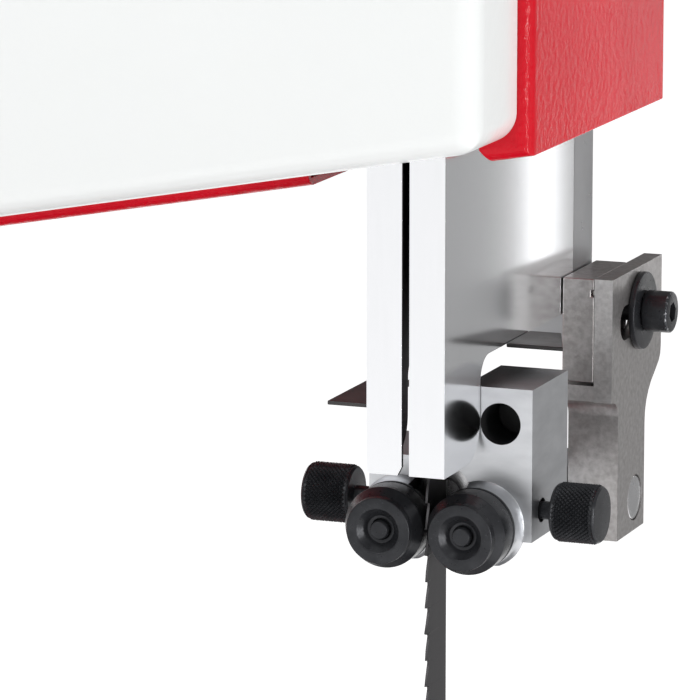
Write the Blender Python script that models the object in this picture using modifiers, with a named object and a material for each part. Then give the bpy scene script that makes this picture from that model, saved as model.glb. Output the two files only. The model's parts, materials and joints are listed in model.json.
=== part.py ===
"""Vertical workshop band saw: welded frame, two blade wheels, tilting table and
roller blade guide on a rise-and-fall post.

Frame: origin on the floor at the centre of the plinth's underside, +Z up, the doors face -Y
and the open end of the throat faces +X.  Lengths below are in millimetres, and mm() turns
them into metres.
"""
import math

import bmesh
import bpy
from mathutils import Matrix, Vector

# ------------------------------------------------------------------ driving dimensions
DEPTH_SHIFT = -50.0        # blade guard front plane sits 50 in front of the plinth's centre
GAP = 0.3                  # running clearance between separate pieces

BLADE_T, BLADE_W = 0.8, 18.8
BLADE_FRONT = 19.8         # teeth, measured back from the blade guard's front face
WHEEL_R, TYRE_T = 219.3, 5.0
TYRE_R = 223.6
BLADE_R = 225.0            # inner face of the blade loop
BX = BLADE_R + BLADE_T / 2  # blade plane of the cutting run
UPPER_Z, LOWER_Z = 1535.0, 590.0
ARC_STEPS = 32

SIDE_L, SIDE_R = -275.0, 261.0
HOUSING_Y0, HOUSING_Y1 = 20.0, 162.5
DOOR_Y0 = -20.0
SHEET, DOOR_SHEET = 3.0, 1.5
HOUSING_TOP = 1785.0
NOSE_Z, SLOPE = 1319.6, 0.1835   # lower edge of the upper housing at its right side
LOWER_TOP = 835.0
TABLE_Z, TABLE_T, TABLE_SKIRT = 950.0, 14.0, 38.0
TABLE_X0, TABLE_X1, TABLE_Y0, TABLE_Y1 = -160.0, 385.0, -200.0, 300.0
GUIDE_Z = 1215.0           # lower end of the blade guard at rest
LOWER_GUIDE_Z = 894.5      # same reference for the guide under the table
HINGE_X, HINGE_Y = -283.0, 12.0
LATCH_X = 240.0
PIVOT_Y = 85.0             # tilt axis of the upper wheel
SCREW_Y = 124.0            # tension screw
POST_Y0, POST_Y1 = 130.9, 152.4
PINION_X = BX + 13.5 + 0.5 + 8.5
PINION_Z = 1445.0
MOTOR_X, MOTOR_Z = -120.0, 230.0


def mm(x, y, z):
    return Vector((x, y + DEPTH_SHIFT, z)) * 0.001


# ------------------------------------------------------------------ scene, materials
for obj in list(bpy.data.objects):
    bpy.data.objects.remove(obj, do_unlink=True)
for mesh in list(bpy.data.meshes):
    bpy.data.meshes.remove(mesh)

SAW = bpy.data.collections.new("band_saw")
CUTTERS = bpy.data.collections.new("cutters")
bpy.context.scene.collection.children.link(SAW)
bpy.context.scene.collection.children.link(CUTTERS)

LOOKS = {
    "red": ((0.58, 0.006, 0.02), 0.32, 0.0),
    "white": ((0.86, 0.87, 0.87), 0.25, 0.0),
    "black": ((0.02, 0.02, 0.022), 0.38, 0.0),
    "oxide": ((0.03, 0.03, 0.032), 0.42, 0.6),
    "aluminium": ((0.78, 0.79, 0.80), 0.35, 1.0),
    "steel": ((0.52, 0.52, 0.53), 0.32, 1.0),
    "blade": ((0.10, 0.10, 0.105), 0.38, 0.9),
    "cast": ((0.36, 0.35, 0.35), 0.55, 0.8),
    "iron": ((0.42, 0.42, 0.43), 0.40, 0.9),
    "rubber": ((0.03, 0.03, 0.03), 0.80, 0.0),
    "grey": ((0.20, 0.21, 0.22), 0.45, 0.0),
    "green": ((0.02, 0.35, 0.08), 0.35, 0.0),
    "stop": ((0.70, 0.02, 0.02), 0.35, 0.0),
}


def material(obj, look):
    colour, rough, metal = LOOKS[look]
    mat = bpy.data.materials.new(obj.name + "_" + look)
    mat.use_nodes = True
    shader = mat.node_tree.nodes["Principled BSDF"]
    shader.inputs["Base Color"].default_value = (*colour, 1.0)
    shader.inputs["Roughness"].default_value = rough
    shader.inputs["Metallic"].default_value = metal
    obj.data.materials.clear()
    obj.data.materials.append(mat)


# ------------------------------------------------------------------ shape helpers
def place(name, mesh, look=None):
    obj = bpy.data.objects.new(name, mesh)
    (SAW if look else CUTTERS).objects.link(obj)
    if look:
        material(obj, look)
    else:
        obj.hide_render = True
        obj.display_type = "WIRE"
    return obj


def mesh_from(bm, name):
    bmesh.ops.recalc_face_normals(bm, faces=bm.faces)
    mesh = bpy.data.meshes.new(name)
    bm.to_mesh(mesh)
    bm.free()
    return mesh


def box(name, x0, x1, y0, y1, z0, z1, look=None, at=(0, 0, 0)):
    bm = bmesh.new()
    bmesh.ops.create_cube(bm, size=1.0)
    size = Vector((x1 - x0, y1 - y0, z1 - z0)) * 0.001
    mid = mm((x0 + x1) / 2 + at[0], (y0 + y1) / 2 + at[1], (z0 + z1) / 2 + at[2])
    bmesh.ops.transform(bm, verts=bm.verts, matrix=Matrix.Translation(mid) @ Matrix.Diagonal((*size, 1)))
    return place(name, mesh_from(bm, name), look)


AXIS_TURN = {"X": Matrix.Rotation(math.pi / 2, 4, "Y"),
             "Y": Matrix.Rotation(-math.pi / 2, 4, "X"),
             "Z": Matrix.Identity(4)}


def cylinder(name, axis, centre, radius, a0, a1, look=None, steps=24):
    """Round bar along an axis from a0 to a1; centre gives the other two coordinates."""
    bm = bmesh.new()
    bmesh.ops.create_cone(bm, cap_ends=True, segments=steps, radius1=radius * 0.001,
                          radius2=radius * 0.001, depth=(a1 - a0) * 0.001)
    mid = list(centre)
    mid["XYZ".index(axis)] = (a0 + a1) / 2
    bmesh.ops.transform(bm, verts=bm.verts, matrix=Matrix.Translation(mm(*mid)) @ AXIS_TURN[axis])
    return place(name, mesh_from(bm, name), look)


def evaluated_mesh(obj):
    graph = bpy.context.evaluated_depsgraph_get()
    mesh = bpy.data.meshes.new_from_object(obj.evaluated_get(graph), depsgraph=graph)
    mesh.transform(obj.matrix_world)
    bm = bmesh.new()
    bm.from_mesh(mesh)
    bmesh.ops.remove_doubles(bm, verts=bm.verts, dist=1e-6)
    bmesh.ops.recalc_face_normals(bm, faces=bm.faces)
    bm.to_mesh(mesh)
    bm.free()
    return mesh


def turned(name, axis, centre, profile, look=None, steps=32):
    """Turned piece: profile of (radius, position along the axis), closed on itself."""
    data = bpy.data.meshes.new(name + "_profile")
    points = [(r * 0.001, 0.0, h * 0.001) for r, h in profile]
    count = len(points)
    solid = profile[0][0] == 0 and profile[-1][0] == 0
    edges = [(i, (i + 1) % count) for i in range(count - 1 if solid else count)]
    data.from_pydata(points, edges, [])
    tmp = bpy.data.objects.new(name + "_profile", data)
    bpy.context.scene.collection.objects.link(tmp)
    screw = tmp.modifiers.new("turn", "SCREW")
    screw.axis = "Z"
    screw.steps = screw.render_steps = steps
    screw.use_merge_vertices = True
    screw.merge_threshold = 0.00001
    base = list(centre)
    base["XYZ".index(axis)] = 0.0
    tmp.matrix_world = Matrix.Translation(mm(*base)) @ AXIS_TURN[axis]
    bpy.context.view_layer.update()
    mesh = evaluated_mesh(tmp)
    bpy.data.objects.remove(tmp, do_unlink=True)
    return place(name, mesh, look)


PLANE = {"Z": Matrix.Identity(4),
         "Y": Matrix(((1, 0, 0, 0), (0, 0, -1, 0), (0, 1, 0, 0), (0, 0, 0, 1))),
         "X": Matrix(((0, 0, 1, 0), (1, 0, 0, 0), (0, 1, 0, 0), (0, 0, 0, 1)))}


def flat(name, axis, outlines, a0, a1, look=None, at=(0, 0, 0)):
    """Flat outline (with holes) extruded along an axis; points are the other two coordinates."""
    curve = bpy.data.curves.new(name + "_outline", "CURVE")
    curve.dimensions = "2D"
    curve.fill_mode = "BOTH"
    curve.extrude = (a1 - a0) * 0.0005
    for outline in outlines:
        spline = curve.splines.new("POLY")
        spline.points.add(len(outline) - 1)
        for point, (u, v) in zip(spline.points, outline):
            point.co = (u * 0.001, v * 0.001, 0.0, 1.0)
        spline.use_cyclic_u = True
    tmp = bpy.data.objects.new(name + "_outline", curve)
    bpy.context.scene.collection.objects.link(tmp)
    mid = [at[0], at[1], at[2]]
    mid["XYZ".index(axis)] += (a0 + a1) / 2
    tmp.matrix_world = Matrix.Translation(mm(*mid)) @ PLANE[axis]
    bpy.context.view_layer.update()
    mesh = evaluated_mesh(tmp)
    bpy.data.objects.remove(tmp, do_unlink=True)
    return place(name, mesh, look)


def boolean(obj, other, operation):
    modifier = obj.modifiers.new(other.name, "BOOLEAN")
    modifier.object = other
    modifier.operation = operation
    modifier.solver = "EXACT"


def cut(obj, *others):
    for other in others:
        boolean(obj, other, "DIFFERENCE")
    return obj


def join(obj, *others):
    for other in others:
        boolean(obj, other, "UNION")
    return obj


def soften(obj, width, segments=2, angle=40):
    bevel = obj.modifiers.new("edges", "BEVEL")
    bevel.width = width * 0.001
    bevel.segments = segments
    bevel.limit_method = "ANGLE"
    bevel.angle_limit = math.radians(angle)
    return obj


def pivot(obj, x, y, z):
    """Put the object's origin on its joint axis without moving its shape."""
    origin = mm(x, y, z)
    obj.data.transform(Matrix.Translation(-origin))
    obj.location = origin
    return obj


def arc(cx, cy, r, a0, a1, steps):
    return [(cx + r * math.cos(math.radians(a0 + (a1 - a0) * i / steps)),
             cy + r * math.sin(math.radians(a0 + (a1 - a0) * i / steps))) for i in range(steps + 1)]


def inset(points, distances):
    """Offset a counter-clockwise convex outline inwards, one distance for each edge."""
    lines = []
    count = len(points)
    for i, d in enumerate(distances):
        (x0, y0), (x1, y1) = points[i], points[(i + 1) % count]
        length = math.hypot(x1 - x0, y1 - y0)
        nx, ny = -(y1 - y0) / length, (x1 - x0) / length
        lines.append((nx, ny, nx * x0 + ny * y0 + d))
    result = []
    for i in range(count):
        a, b = lines[i - 1], lines[i]
        det = a[0] * b[1] - b[0] * a[1]
        result.append(((a[2] * b[1] - b[2] * a[1]) / det, (a[0] * b[2] - b[0] * a[2]) / det))
    return result


def rounded(points, radii, steps=3):
    """Round the corners of a counter-clockwise convex outline."""
    result = []
    count = len(points)
    for i, r in enumerate(radii):
        p, q, s = (Vector(points[i - 1]), Vector(points[i]), Vector(points[(i + 1) % count]))
        if r <= 0:
            result.append(tuple(q))
            continue
        a, b = (p - q).normalized(), (s - q).normalized()
        half = a.angle(b) / 2
        start, end = q + a * (r / math.tan(half)), q + b * (r / math.tan(half))
        middle = q + (a + b).normalized() * (r / math.sin(half))
        for k in range(steps + 1):
            ray = (start - middle).lerp(end - middle, k / steps).normalized() * r
            result.append(tuple(middle + ray))
    return result


def housing_line(x):
    return NOSE_Z - SLOPE * (SIDE_R - x)


# ------------------------------------------------------------------ frame and sheet metal
def make_base():
    base = box("base_plinth", -290, 290, -150, 250, 0, 95, "grey")
    cut(base, box("plinth_tunnel", -300, 300, -144, 244, 6, 89))
    for i, (x, y) in enumerate(((-250, -110), (250, -110), (-250, 210), (250, 210))):
        cut(base, cylinder("anchor_%d" % i, "Z", (x, y, 0), 7, -5, 10, steps=12))


def make_lower_housing():
    body = box("lower_housing", SIDE_L, SIDE_R, HOUSING_Y0, HOUSING_Y1, 95.3, LOWER_TOP, "red")
    cut(body, box("lower_hollow", SIDE_L + 3, SIDE_R - 3, 23, 159.5, 98.3, LOWER_TOP - 3),
        box("lower_mouth", SIDE_L + 14, SIDE_R - 14, 15, 30, 110, LOWER_TOP - 14),
        box("lower_slot_r", BX - 15, BX + 15, 15, 56, LOWER_TOP - 40, LOWER_TOP + 5),
        box("lower_slot_l", -BX - 15, -BX + 15, 15, 56, LOWER_TOP - 40, LOWER_TOP + 5),
        cylinder("motor_hole", "Y", (MOTOR_X, 0, MOTOR_Z), 17, 150, 170),
        cylinder("dust_hole", "X", (0, 92, 250), 46, 250, 270, steps=32))
    bearing = [(15.5, 100), (32, 100), (32, 150), (45, 150), (45, 160.5), (15.5, 160.5)]
    join(body, turned("lower_bearing", "Y", (0, 0, LOWER_Z), bearing, None, 16))


def make_column():
    outline = [(SIDE_L, LOWER_TOP + GAP), (-175, LOWER_TOP + GAP),
               (-175, housing_line(-175) - 0.4), (SIDE_L, housing_line(SIDE_L) - 0.4)]
    column = flat("column", "Y", [outline], 60, HOUSING_Y1, "red")
    cut(column, box("column_hollow", SIDE_L + 5, -180, 65, HOUSING_Y1 - 5, 800, 1300))
    cover = [(SIDE_L, 840), (-175, 840), (-175, housing_line(-175) - 4),
             (SIDE_L, housing_line(SIDE_L) - 4)]
    shell = flat("column_cover", "Y", [cover], -5, 59.6, "red")
    cut(shell, box("cover_hollow", SIDE_L + 1.5, -176.5, -3.5, 70, 800, 1300))


def make_upper_housing():
    outline = [(SIDE_L, housing_line(SIDE_L)), (SIDE_R, NOSE_Z), (SIDE_R, HOUSING_TOP),
               (SIDE_L, HOUSING_TOP)]
    shape = rounded(outline, (4, 1.5, 28, 28), 3)
    body = flat("upper_housing", "Y", [shape], HOUSING_Y0, HOUSING_Y1, "red")
    inner = rounded(inset(outline, (3, 3, 3, 3)), (0, 0, 25, 25), 3)
    mouth = inset(outline, (14, 14, 14, 14))
    cut(body, flat("upper_hollow", "Y", [inner], 23, 159.5),
        flat("upper_mouth", "Y", [mouth], 15, 30))
    # throat for the guard, the blade and the post, with a chamfered lip at its right end
    throat = [(BX - 42, 1240), (BX + 15, 1240), (BX + 20, 1330), (BX + 12, 1345), (BX - 42, 1345)]
    cut(body, flat("throat", "Y", [throat], 15, 157.5),
        box("return_slot", -BX - 15, -BX + 15, 15, 56, 1200, 1260),
        cylinder("pinion_hole", "Y", (PINION_X, 0, PINION_Z), 6.8, 150, 170, steps=16),
        box("tracking_slot", -8, 8, 150, 170, 1462, 1498),
        cylinder("lock_hole", "X", (0, 142, 1385), 4.8, 250, 270, steps=16),
        cylinder("tension_hole", "Z", (0, SCREW_Y, 0), 8.8, 1775, 1800, steps=16))
    # carriage rails on the back wall
    for side in (-1, 1):
        rail = [(58.6, 160.5), (74, 160.5), (74, 133), (44, 133), (44, 139.4), (58.6, 139.4)]
        points = [(side * x, y) for x, y in rail]
        join(body, flat("rail_%s" % ("l" if side < 0 else "r"), "Z", [points], 1430, 1640))
    # sleeve that the post slides in, welded to the back wall
    sleeve = [(-30, 160.5), (30, 160.5), (30, 134), (13.9, 134), (13.9, 152.8), (-13.9, 152.8),
              (-13.9, 134), (-30, 134)]
    join(body, flat("post_sleeve", "Z", [sleeve[::-1]], 1345, 1405, at=(BX, 0, 0)))
    cut(body, cylinder("stud_bore", "X", (0, 142, 1385), 4.6, BX + 10, BX + 34, steps=16))


def make_door(name, outline, radii, z_knuckles, latch_z, notch):
    shape = rounded(outline, radii, 2)
    solid = flat(name + "_form", "Y", [shape], DOOR_Y0, HOUSING_Y0 - GAP)
    bm = bmesh.new()
    bm.from_mesh(solid.data)
    bpy.data.objects.remove(solid, do_unlink=True)
    bmesh.ops.dissolve_limit(bm, angle_limit=0.01, verts=bm.verts, edges=bm.edges)
    back = max(v.co.y for v in bm.verts)
    front = min(v.co.y for v in bm.verts)
    bmesh.ops.delete(bm, geom=[f for f in bm.faces if min(v.co.y for v in f.verts) > back - 1e-5],
                     context="FACES_ONLY")
    rim = [e for e in bm.edges if max(v.co.y for v in e.verts) < front + 1e-5]
    bmesh.ops.bevel(bm, geom=rim, offset=0.008, segments=2, profile=0.5, affect="EDGES")
    door = place(name, mesh_from(bm, name), "white")
    shell = door.modifiers.new("sheet", "SOLIDIFY")
    shell.thickness = DOOR_SHEET * 0.001
    shell.offset = -1.0
    for i, z in enumerate(z_knuckles):
        tag = "%s_knuckle_%d" % (name, i)
        join(door, box(tag + "_web", HINGE_X + 5.5, outline[0][0] + 1, 7, 17, z - 30, z + 30),
             cylinder(tag, "Z", (HINGE_X, HINGE_Y, 0), 7, z - 30, z + 30, steps=16))
        cut(door, cylinder(tag + "_bore", "Z", (HINGE_X, HINGE_Y, 0), 4.3, z - 40, z + 40, steps=16))
    cut(door, cylinder(name + "_latch_hole", "Y", (LATCH_X, 0, latch_z), 5.6, -30, -10, steps=16))
    if notch:
        cut(door, notch)
    return pivot(door, HINGE_X, HINGE_Y, z_knuckles[0])


def make_doors():
    upper = [(SIDE_L, housing_line(SIDE_L)), (SIDE_R, NOSE_Z), (SIDE_R, HOUSING_TOP),
             (SIDE_L, HOUSING_TOP)]
    notch = box("guard_notch", BX - 44, BX + 17, -3, 25, 1250, 1340)
    make_door("upper_door", inset(upper, (8.85, 4.6, 4.6, 4.6)), (12, 12, 24, 24),
              (1360, 1670), 1705, notch)
    lower = [(SIDE_L + 4.6, 102), (SIDE_R - 4.6, 102), (SIDE_R - 4.6, 828), (SIDE_L + 4.6, 828)]
    notch = cut(box("lower_notch", BX - 14, BX + 14, -3, 25, 815, 840))
    door = make_door("lower_door", lower, (12, 12, 12, 12), (230, 700), 760, notch)
    cut(door, box("return_notch", -BX - 14, -BX + 14, -3, 25, 815, 840))


def make_hinge(name, heights):
    """One long leaf on the frame carries both pins of a door."""
    hinge = box(name, -279, -275.3, 20.5, 50, heights[0] - 38, heights[1] + 38, "black")
    for z in heights:
        tag = "%s_%d" % (name, z)
        join(hinge, box(tag + "_arm_a", -287.5, -275.3, 7, 30, z - 38, z - 30.5),
             box(tag + "_arm_b", -287.5, -275.3, 7, 30, z + 30.5, z + 38),
             cylinder(tag + "_pin", "Z", (HINGE_X, HINGE_Y, 0), 4, z - 37, z + 37, steps=16))


def make_latch(name, z):
    profile = [(0, -44), (14, -44), (18, -40), (18, -28), (5, -21), (5, 30), (0, 30)]
    latch = turned(name, "Y", (LATCH_X, 0, z), profile, "black", 16)
    join(latch, box(name + "_tongue", LATCH_X - 4, LATCH_X + 4, 25, 29, z - 16, z + 4))
    pivot(latch, LATCH_X, 0, z)


# ------------------------------------------------------------------ wheels and drive
def wheel_profile():
    return [(34, 14), (34, 26), (205, 26), (205, 16.5), (WHEEL_R, 16.5), (WHEEL_R, 41.5),
            (205, 41.5), (205, 34)]


def spokes(wheel, z, tag):
    for i in range(5):
        a = math.radians(90 + 72 * i)
        cut(wheel, cylinder("%s_window_%d" % (tag, i), "Y",
                            (125 * math.cos(a), 0, z + 125 * math.sin(a)), 54, 10, 50, steps=16))


def make_wheels():
    upper = turned("upper_wheel", "Y", (0, 0, UPPER_Z),
                   [(12.8, 14)] + wheel_profile() + [(34, 34), (34, 50), (12.8, 50)], "cast",
                   ARC_STEPS)
    spokes(upper, UPPER_Z, "upper")
    pivot(upper, 0, 29, UPPER_Z)
    lower = turned("lower_wheel", "Y", (0, 0, LOWER_Z),
                   [(0, 8), (15, 8), (15, 14)] + wheel_profile()
                   + [(40, 34), (40, 60), (95, 60), (95, 64.6), (86, 64.6), (86, 75.4), (95, 75.4),
                      (95, 80), (15, 80), (15, 158), (0, 158)],
                   "cast", ARC_STEPS)
    spokes(lower, LOWER_Z, "lower")
    pivot(lower, 0, 29, LOWER_Z)
    for tag, z in (("upper", UPPER_Z), ("lower", LOWER_Z)):
        tyre = turned(tag + "_tyre", "Y", (0, 0, z),
                      [(WHEEL_R + GAP, 17), (TYRE_R, 17), (TYRE_R, 41), (WHEEL_R + GAP, 41)],
                      "rubber", ARC_STEPS)
        pivot(tyre, 0, 29, z)


def loop(x0, z0, r0, x1, z1, r1, steps):
    """Open belt line round two circles, the first one above the second."""
    away = math.degrees(math.atan2(z0 - z1, x0 - x1))
    lean = 180 - math.degrees(math.acos((r0 - r1) / math.hypot(x0 - x1, z0 - z1)))
    first = arc(x0, z0, r0, away - lean, away + lean, steps)
    second = arc(x1, z1, r1, away + lean, away + 360 - lean, steps)
    return first + second


def make_blade_and_belt():
    outer = loop(0, UPPER_Z, BLADE_R + BLADE_T, 0, LOWER_Z, BLADE_R + BLADE_T, ARC_STEPS // 2)
    inner = loop(0, UPPER_Z, BLADE_R, 0, LOWER_Z, BLADE_R, ARC_STEPS // 2)
    flat("blade", "Y", [outer, inner[::-1]], BLADE_FRONT, BLADE_FRONT + BLADE_W, "blade")
    outer = loop(0, LOWER_Z, 94.5, MOTOR_X, MOTOR_Z, 44.5, 20)
    inner = loop(0, LOWER_Z, 86.9, MOTOR_X, MOTOR_Z, 36.9, 20)
    flat("drive_belt", "Y", [outer, inner[::-1]], 65, 75, "rubber")


def make_wheel_mount():
    turn = [(0, 4), (18, 4), (18, 13.7), (12.5, 13.7), (12.5, 50.4), (20, 50.4), (20, 63), (0, 63)]
    bracket = turned("tilt_bracket", "Y", (0, 0, UPPER_Z), turn, "cast", 20)
    join(bracket, box("tilt_block", -22, 22, 61, 100, 1472, 1558))
    cut(bracket, cylinder("tilt_bore", "X", (0, PIVOT_Y, UPPER_Z), 6.4, -30, 30, steps=20),
        cylinder("tracking_bore", "Y", (0, 0, 1485), 7.5, 50, 110, steps=16))
    pivot(bracket, 0, PIVOT_Y, UPPER_Z)

    carriage = box("wheel_carriage", -58, 58, 140, 150, 1450, 1620, "cast")
    for side in (-1, 1):
        x0, x1 = sorted((side * 24, side * 36))
        join(carriage, box("cheek_%d" % (side + 1), x0, x1, 72, 141, 1515, 1560))
    join(carriage, cylinder("wheel_pivot", "X", (0, PIVOT_Y, UPPER_Z), 6, -30, 30, steps=20),
         box("ledge_low", -22, 22, 108, 141, 1568, 1578),
         box("ledge_high", -22, 22, 108, 141, 1606, 1618))
    cut(carriage, cylinder("nut_bore", "Z", (0, SCREW_Y, 0), 8.4, 1560, 1625, steps=20),
        cylinder("rod_bore", "Y", (0, 0, 1485), 5.4, 135, 155, steps=16))
    pivot(carriage, 0, SCREW_Y, UPPER_Z)

    turns, per_turn = 3.5, 10
    coil = bpy.data.curves.new("coil", "CURVE")
    coil.dimensions = "3D"
    coil.bevel_depth = 0.0016
    coil.bevel_resolution = 0
    coil.use_fill_caps = True
    line = coil.splines.new("POLY")
    count = int(turns * per_turn)
    line.points.add(count)
    for i, point in enumerate(line.points):
        a = 2 * math.pi * i / per_turn
        spot = mm(12 * math.cos(a), SCREW_Y + 12 * math.sin(a), 1580.4 + 23.2 * i / count)
        point.co = (*spot, 1.0)
    tmp = bpy.data.objects.new("coil", coil)
    bpy.context.scene.collection.objects.link(tmp)
    bpy.context.view_layer.update()
    place("tension_spring", evaluated_mesh(tmp), "steel")
    bpy.data.objects.remove(tmp, do_unlink=True)

    # handwheel and its screw turn as one piece, held by the collar on the housing's roof
    rim = [(0, 1562), (8, 1562), (8, 1785.4), (17, 1785.4), (17, 1804), (42, 1806), (45, 1798),
           (54, 1797), (57, 1806), (52, 1815), (42, 1811), (17, 1812), (0, 1818)]
    wheel = turned("tension_handwheel", "Z", (0, SCREW_Y, 0), rim, "black", 24)
    pivot(wheel, 0, SCREW_Y, 1808)

    knob = [(0, 64), (5, 64), (5, 172), (12, 174), (26, 180), (26, 190), (22, 194), (0, 194)]
    pivot(turned("tracking_knob", "Y", (0, 0, 1485), knob, "black", 16), 0, 182, 1485)


def make_drive():
    motor = [(0, 163), (75, 163), (75, 340), (78, 340), (78, 372), (70, 378), (0, 378)]
    body = turned("motor", "Y", (MOTOR_X, 0, MOTOR_Z), motor, "grey", 24)
    join(body, box("motor_flange", MOTOR_X - 80, MOTOR_X + 80, 162.9, 174, MOTOR_Z - 80, MOTOR_Z + 80),
         box("terminal_box", MOTOR_X - 45, MOTOR_X + 45, 220, 300, MOTOR_Z + 60, MOTOR_Z + 112))
    cut(body, cylinder("motor_bore", "Y", (MOTOR_X, 0, MOTOR_Z), 14.4, 155, 190, steps=20))
    pulley = [(0, 60), (45, 60), (45, 64.6), (36, 64.6), (36, 75.4),
              (45, 75.4), (45, 80), (14, 80), (14, 186), (0, 186)]
    pivot(turned("motor_pulley", "Y", (MOTOR_X, 0, MOTOR_Z), pulley, "iron", 20), MOTOR_X, 70, MOTOR_Z)
    turned("dust_port", "X", (0, 92, 250),
           [(44, 261.4), (60, 261.4), (60, 264), (50, 264), (50, 318), (44, 318)], "black", 24)


# ------------------------------------------------------------------ table
def make_table():
    table = box("table", TABLE_X0, TABLE_X1, TABLE_Y0, TABLE_Y1, TABLE_Z - TABLE_SKIRT, TABLE_Z, "iron")
    cut(table, box("table_pocket", TABLE_X0 + 9, TABLE_X1 - 9, TABLE_Y0 + 9, TABLE_Y1 - 9,
                   TABLE_Z - TABLE_SKIRT - 5, TABLE_Z - TABLE_T),
        cylinder("insert_seat", "Z", (BX, 29, 0), 32.3, TABLE_Z - 3, TABLE_Z + 5, steps=32),
        cylinder("blade_hole", "Z", (BX, 29, 0), 26, TABLE_Z - 30, TABLE_Z + 5, steps=32),
        box("blade_slot", BX - 1.6, BX + 1.6, TABLE_Y0 - 5, 10, TABLE_Z - 50, TABLE_Z + 5),
        box("mitre_slot", BX + 55, BX + 74, TABLE_Y0 - 5, TABLE_Y1 + 5, TABLE_Z - 9.5, TABLE_Z + 5))
    pivot(table, BX, 29, TABLE_Z)

    insert = cylinder("table_insert", "Z", (BX, 29, 0), 32, TABLE_Z - 2.7, TABLE_Z, "aluminium", 32)
    cut(insert, box("insert_slot", BX - 1.6, BX + 5, -20, 42, TABLE_Z - 10, TABLE_Z + 5))
    pivot(insert, BX, 29, TABLE_Z)

    top = -TABLE_T - GAP
    lift = math.degrees(math.asin(-top / 99.7))
    low = math.degrees(math.asin(28 / 82))
    outline = arc(0, 0, 99.7, 180 + lift, 360 - lift, 24)
    window = arc(0, 0, 82, 180 + low, 360 - low, 20)
    trunnion = flat("trunnion", "Y", [outline, window[::-1]], 66, 140, "cast", at=(BX, 0, TABLE_Z))
    pivot(trunnion, BX, 29, TABLE_Z)

    saddle_arc = arc(0, 0, 100.2, 180 + math.degrees(math.acos(80 / 100.2)),
                     360 - math.degrees(math.acos(35 / 100.2)), 16)
    floor = LOWER_TOP + GAP - TABLE_Z
    saddle = [(-80, floor), (35, floor)] + saddle_arc[::-1]
    support = flat("trunnion_support", "Y", [saddle], 61, 144, "cast", at=(BX, 0, TABLE_Z))
    cut(support, cylinder("lock_bore", "Y", (165, 0, 856), 6.3, 120, 150, steps=16))

    lever = turned("tilt_lock_lever", "Y", (165, 0, 856),
                   [(0, 124), (6, 124), (6, 144.4), (13, 144.4), (13, 160), (0, 160)], "black", 16)
    join(lever, cylinder("lever_rod", "X", (0, 153, 856), 4.5, 85, 160, steps=12),
         cylinder("lever_grip", "X", (0, 153, 856), 8, 70, 100, steps=12))
    pivot(lever, 165, 152, 856)


def make_fence():
    rail = box("fence_rail", -150, 375, -234, -204, 905, 935, "aluminium")
    cut(rail, box("rail_hollow", -160, 390, -231, -207, 908, 932))
    for i, x in enumerate((-110, 335)):
        join(rail, box("rail_spacer_%d" % i, x - 12, x + 12, -205, -200.3, 914, 932))
    pivot(rail, BX, 29, TABLE_Z)
    head = [(-246, 895), (-234.4, 895), (-234.4, 935.4), (-203, 935.4), (-203, 950.6),
            (-172, 950.6), (-172, 978), (-230, 978), (-246, 960)]
    pivot(flat("fence_head", "X", [head], 62, 150, "cast"), 110, -200, TABLE_Z)
    plate = [(92, 950.7), (125, 950.7), (125, 1022), (117, 1022), (117, 959), (92, 959)]
    pivot(flat("fence_plate", "Y", [plate], -171.6, 285, "aluminium"), 110, -200, TABLE_Z)
    lever = cylinder("fence_lever", "X", (0, -256, 925), 9, 98, 118, "black", 20)
    join(lever, box("fence_handle", 102, 114, -263, -256, 838, 925))
    pivot(lever, 108, -256, 925)


# ------------------------------------------------------------------ controls on the column
def make_switch():
    case = box("switch_box", -262, -188, -48, -5.4, 1060, 1190, "black")
    for i, z in enumerate((1152, 1098)):
        cut(case, cylinder("button_bore_%d" % i, "Y", (-225, 0, z), 13.4, -60, -38, steps=20))
    for name, z, look, r, front in (("start_button", 1152, "green", 13, -51),
                                    ("stop_button", 1098, "stop", 13, -53)):
        profile = [(0, front), (r - 1.5, front), (r, front + 1.5), (r, -44), (0, -44)]
        pivot(turned(name, "Y", (-225, 0, z), profile, look, 20), -225, -44, z)


# ------------------------------------------------------------------ guide post and head
HEAD = (BX, 0.0, GUIDE_Z)


def make_post():
    pivot(box("guide_post", -13.5, 13.5, POST_Y0, POST_Y1, 20, 480, "steel", at=HEAD),
          BX, 142, GUIDE_Z)
    knob = [(0, BX + 14.1), (4, BX + 14.1), (4, 264), (9, 264), (19, 269), (21, 272),
            (21, 284), (17, 288), (0, 288)]
    pivot(turned("post_lock_knob", "X", (0, 142, 1385), knob, "black", 16), 270, 142, 1385)
    wheel = [(0, 135), (8.5, 135), (8.5, 151), (6.2, 151), (6.2, 166), (16, 166), (16, 173),
             (42, 176), (45, 170), (53, 171), (56, 179), (52, 188), (42, 183), (16, 184), (0, 190)]
    hand = turned("post_handwheel", "Y", (PINION_X, 0, PINION_Z), wheel, "black", 24)
    pivot(hand, PINION_X, 160, PINION_Z)


def make_guard():
    channel = [(-1.3, 0), (-1.3, 1.6), (-12, 1.6), (-12, 122), (12, 122), (12, 1.6), (1.3, 1.6),
               (1.3, 0), (13.6, 0), (13.6, 130.6), (-13.6, 130.6), (-13.6, 0)]
    guard = flat("blade_guard", "Z", [channel], 0, 400, "aluminium", at=HEAD)
    corner = arc(59, 10, 23, 138, 90, 4)
    relief = [(36, -2), (36, 25.4)] + corner[1:] + [(135, 33), (135, -2)]
    cut(guard, flat("guard_relief", "X", [relief], -16, 16, at=HEAD),
        box("wheel_relief", -15, -11, 10, 50, 165, 410, at=HEAD))
    pivot(guard, BX, 142, GUIDE_Z)


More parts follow.
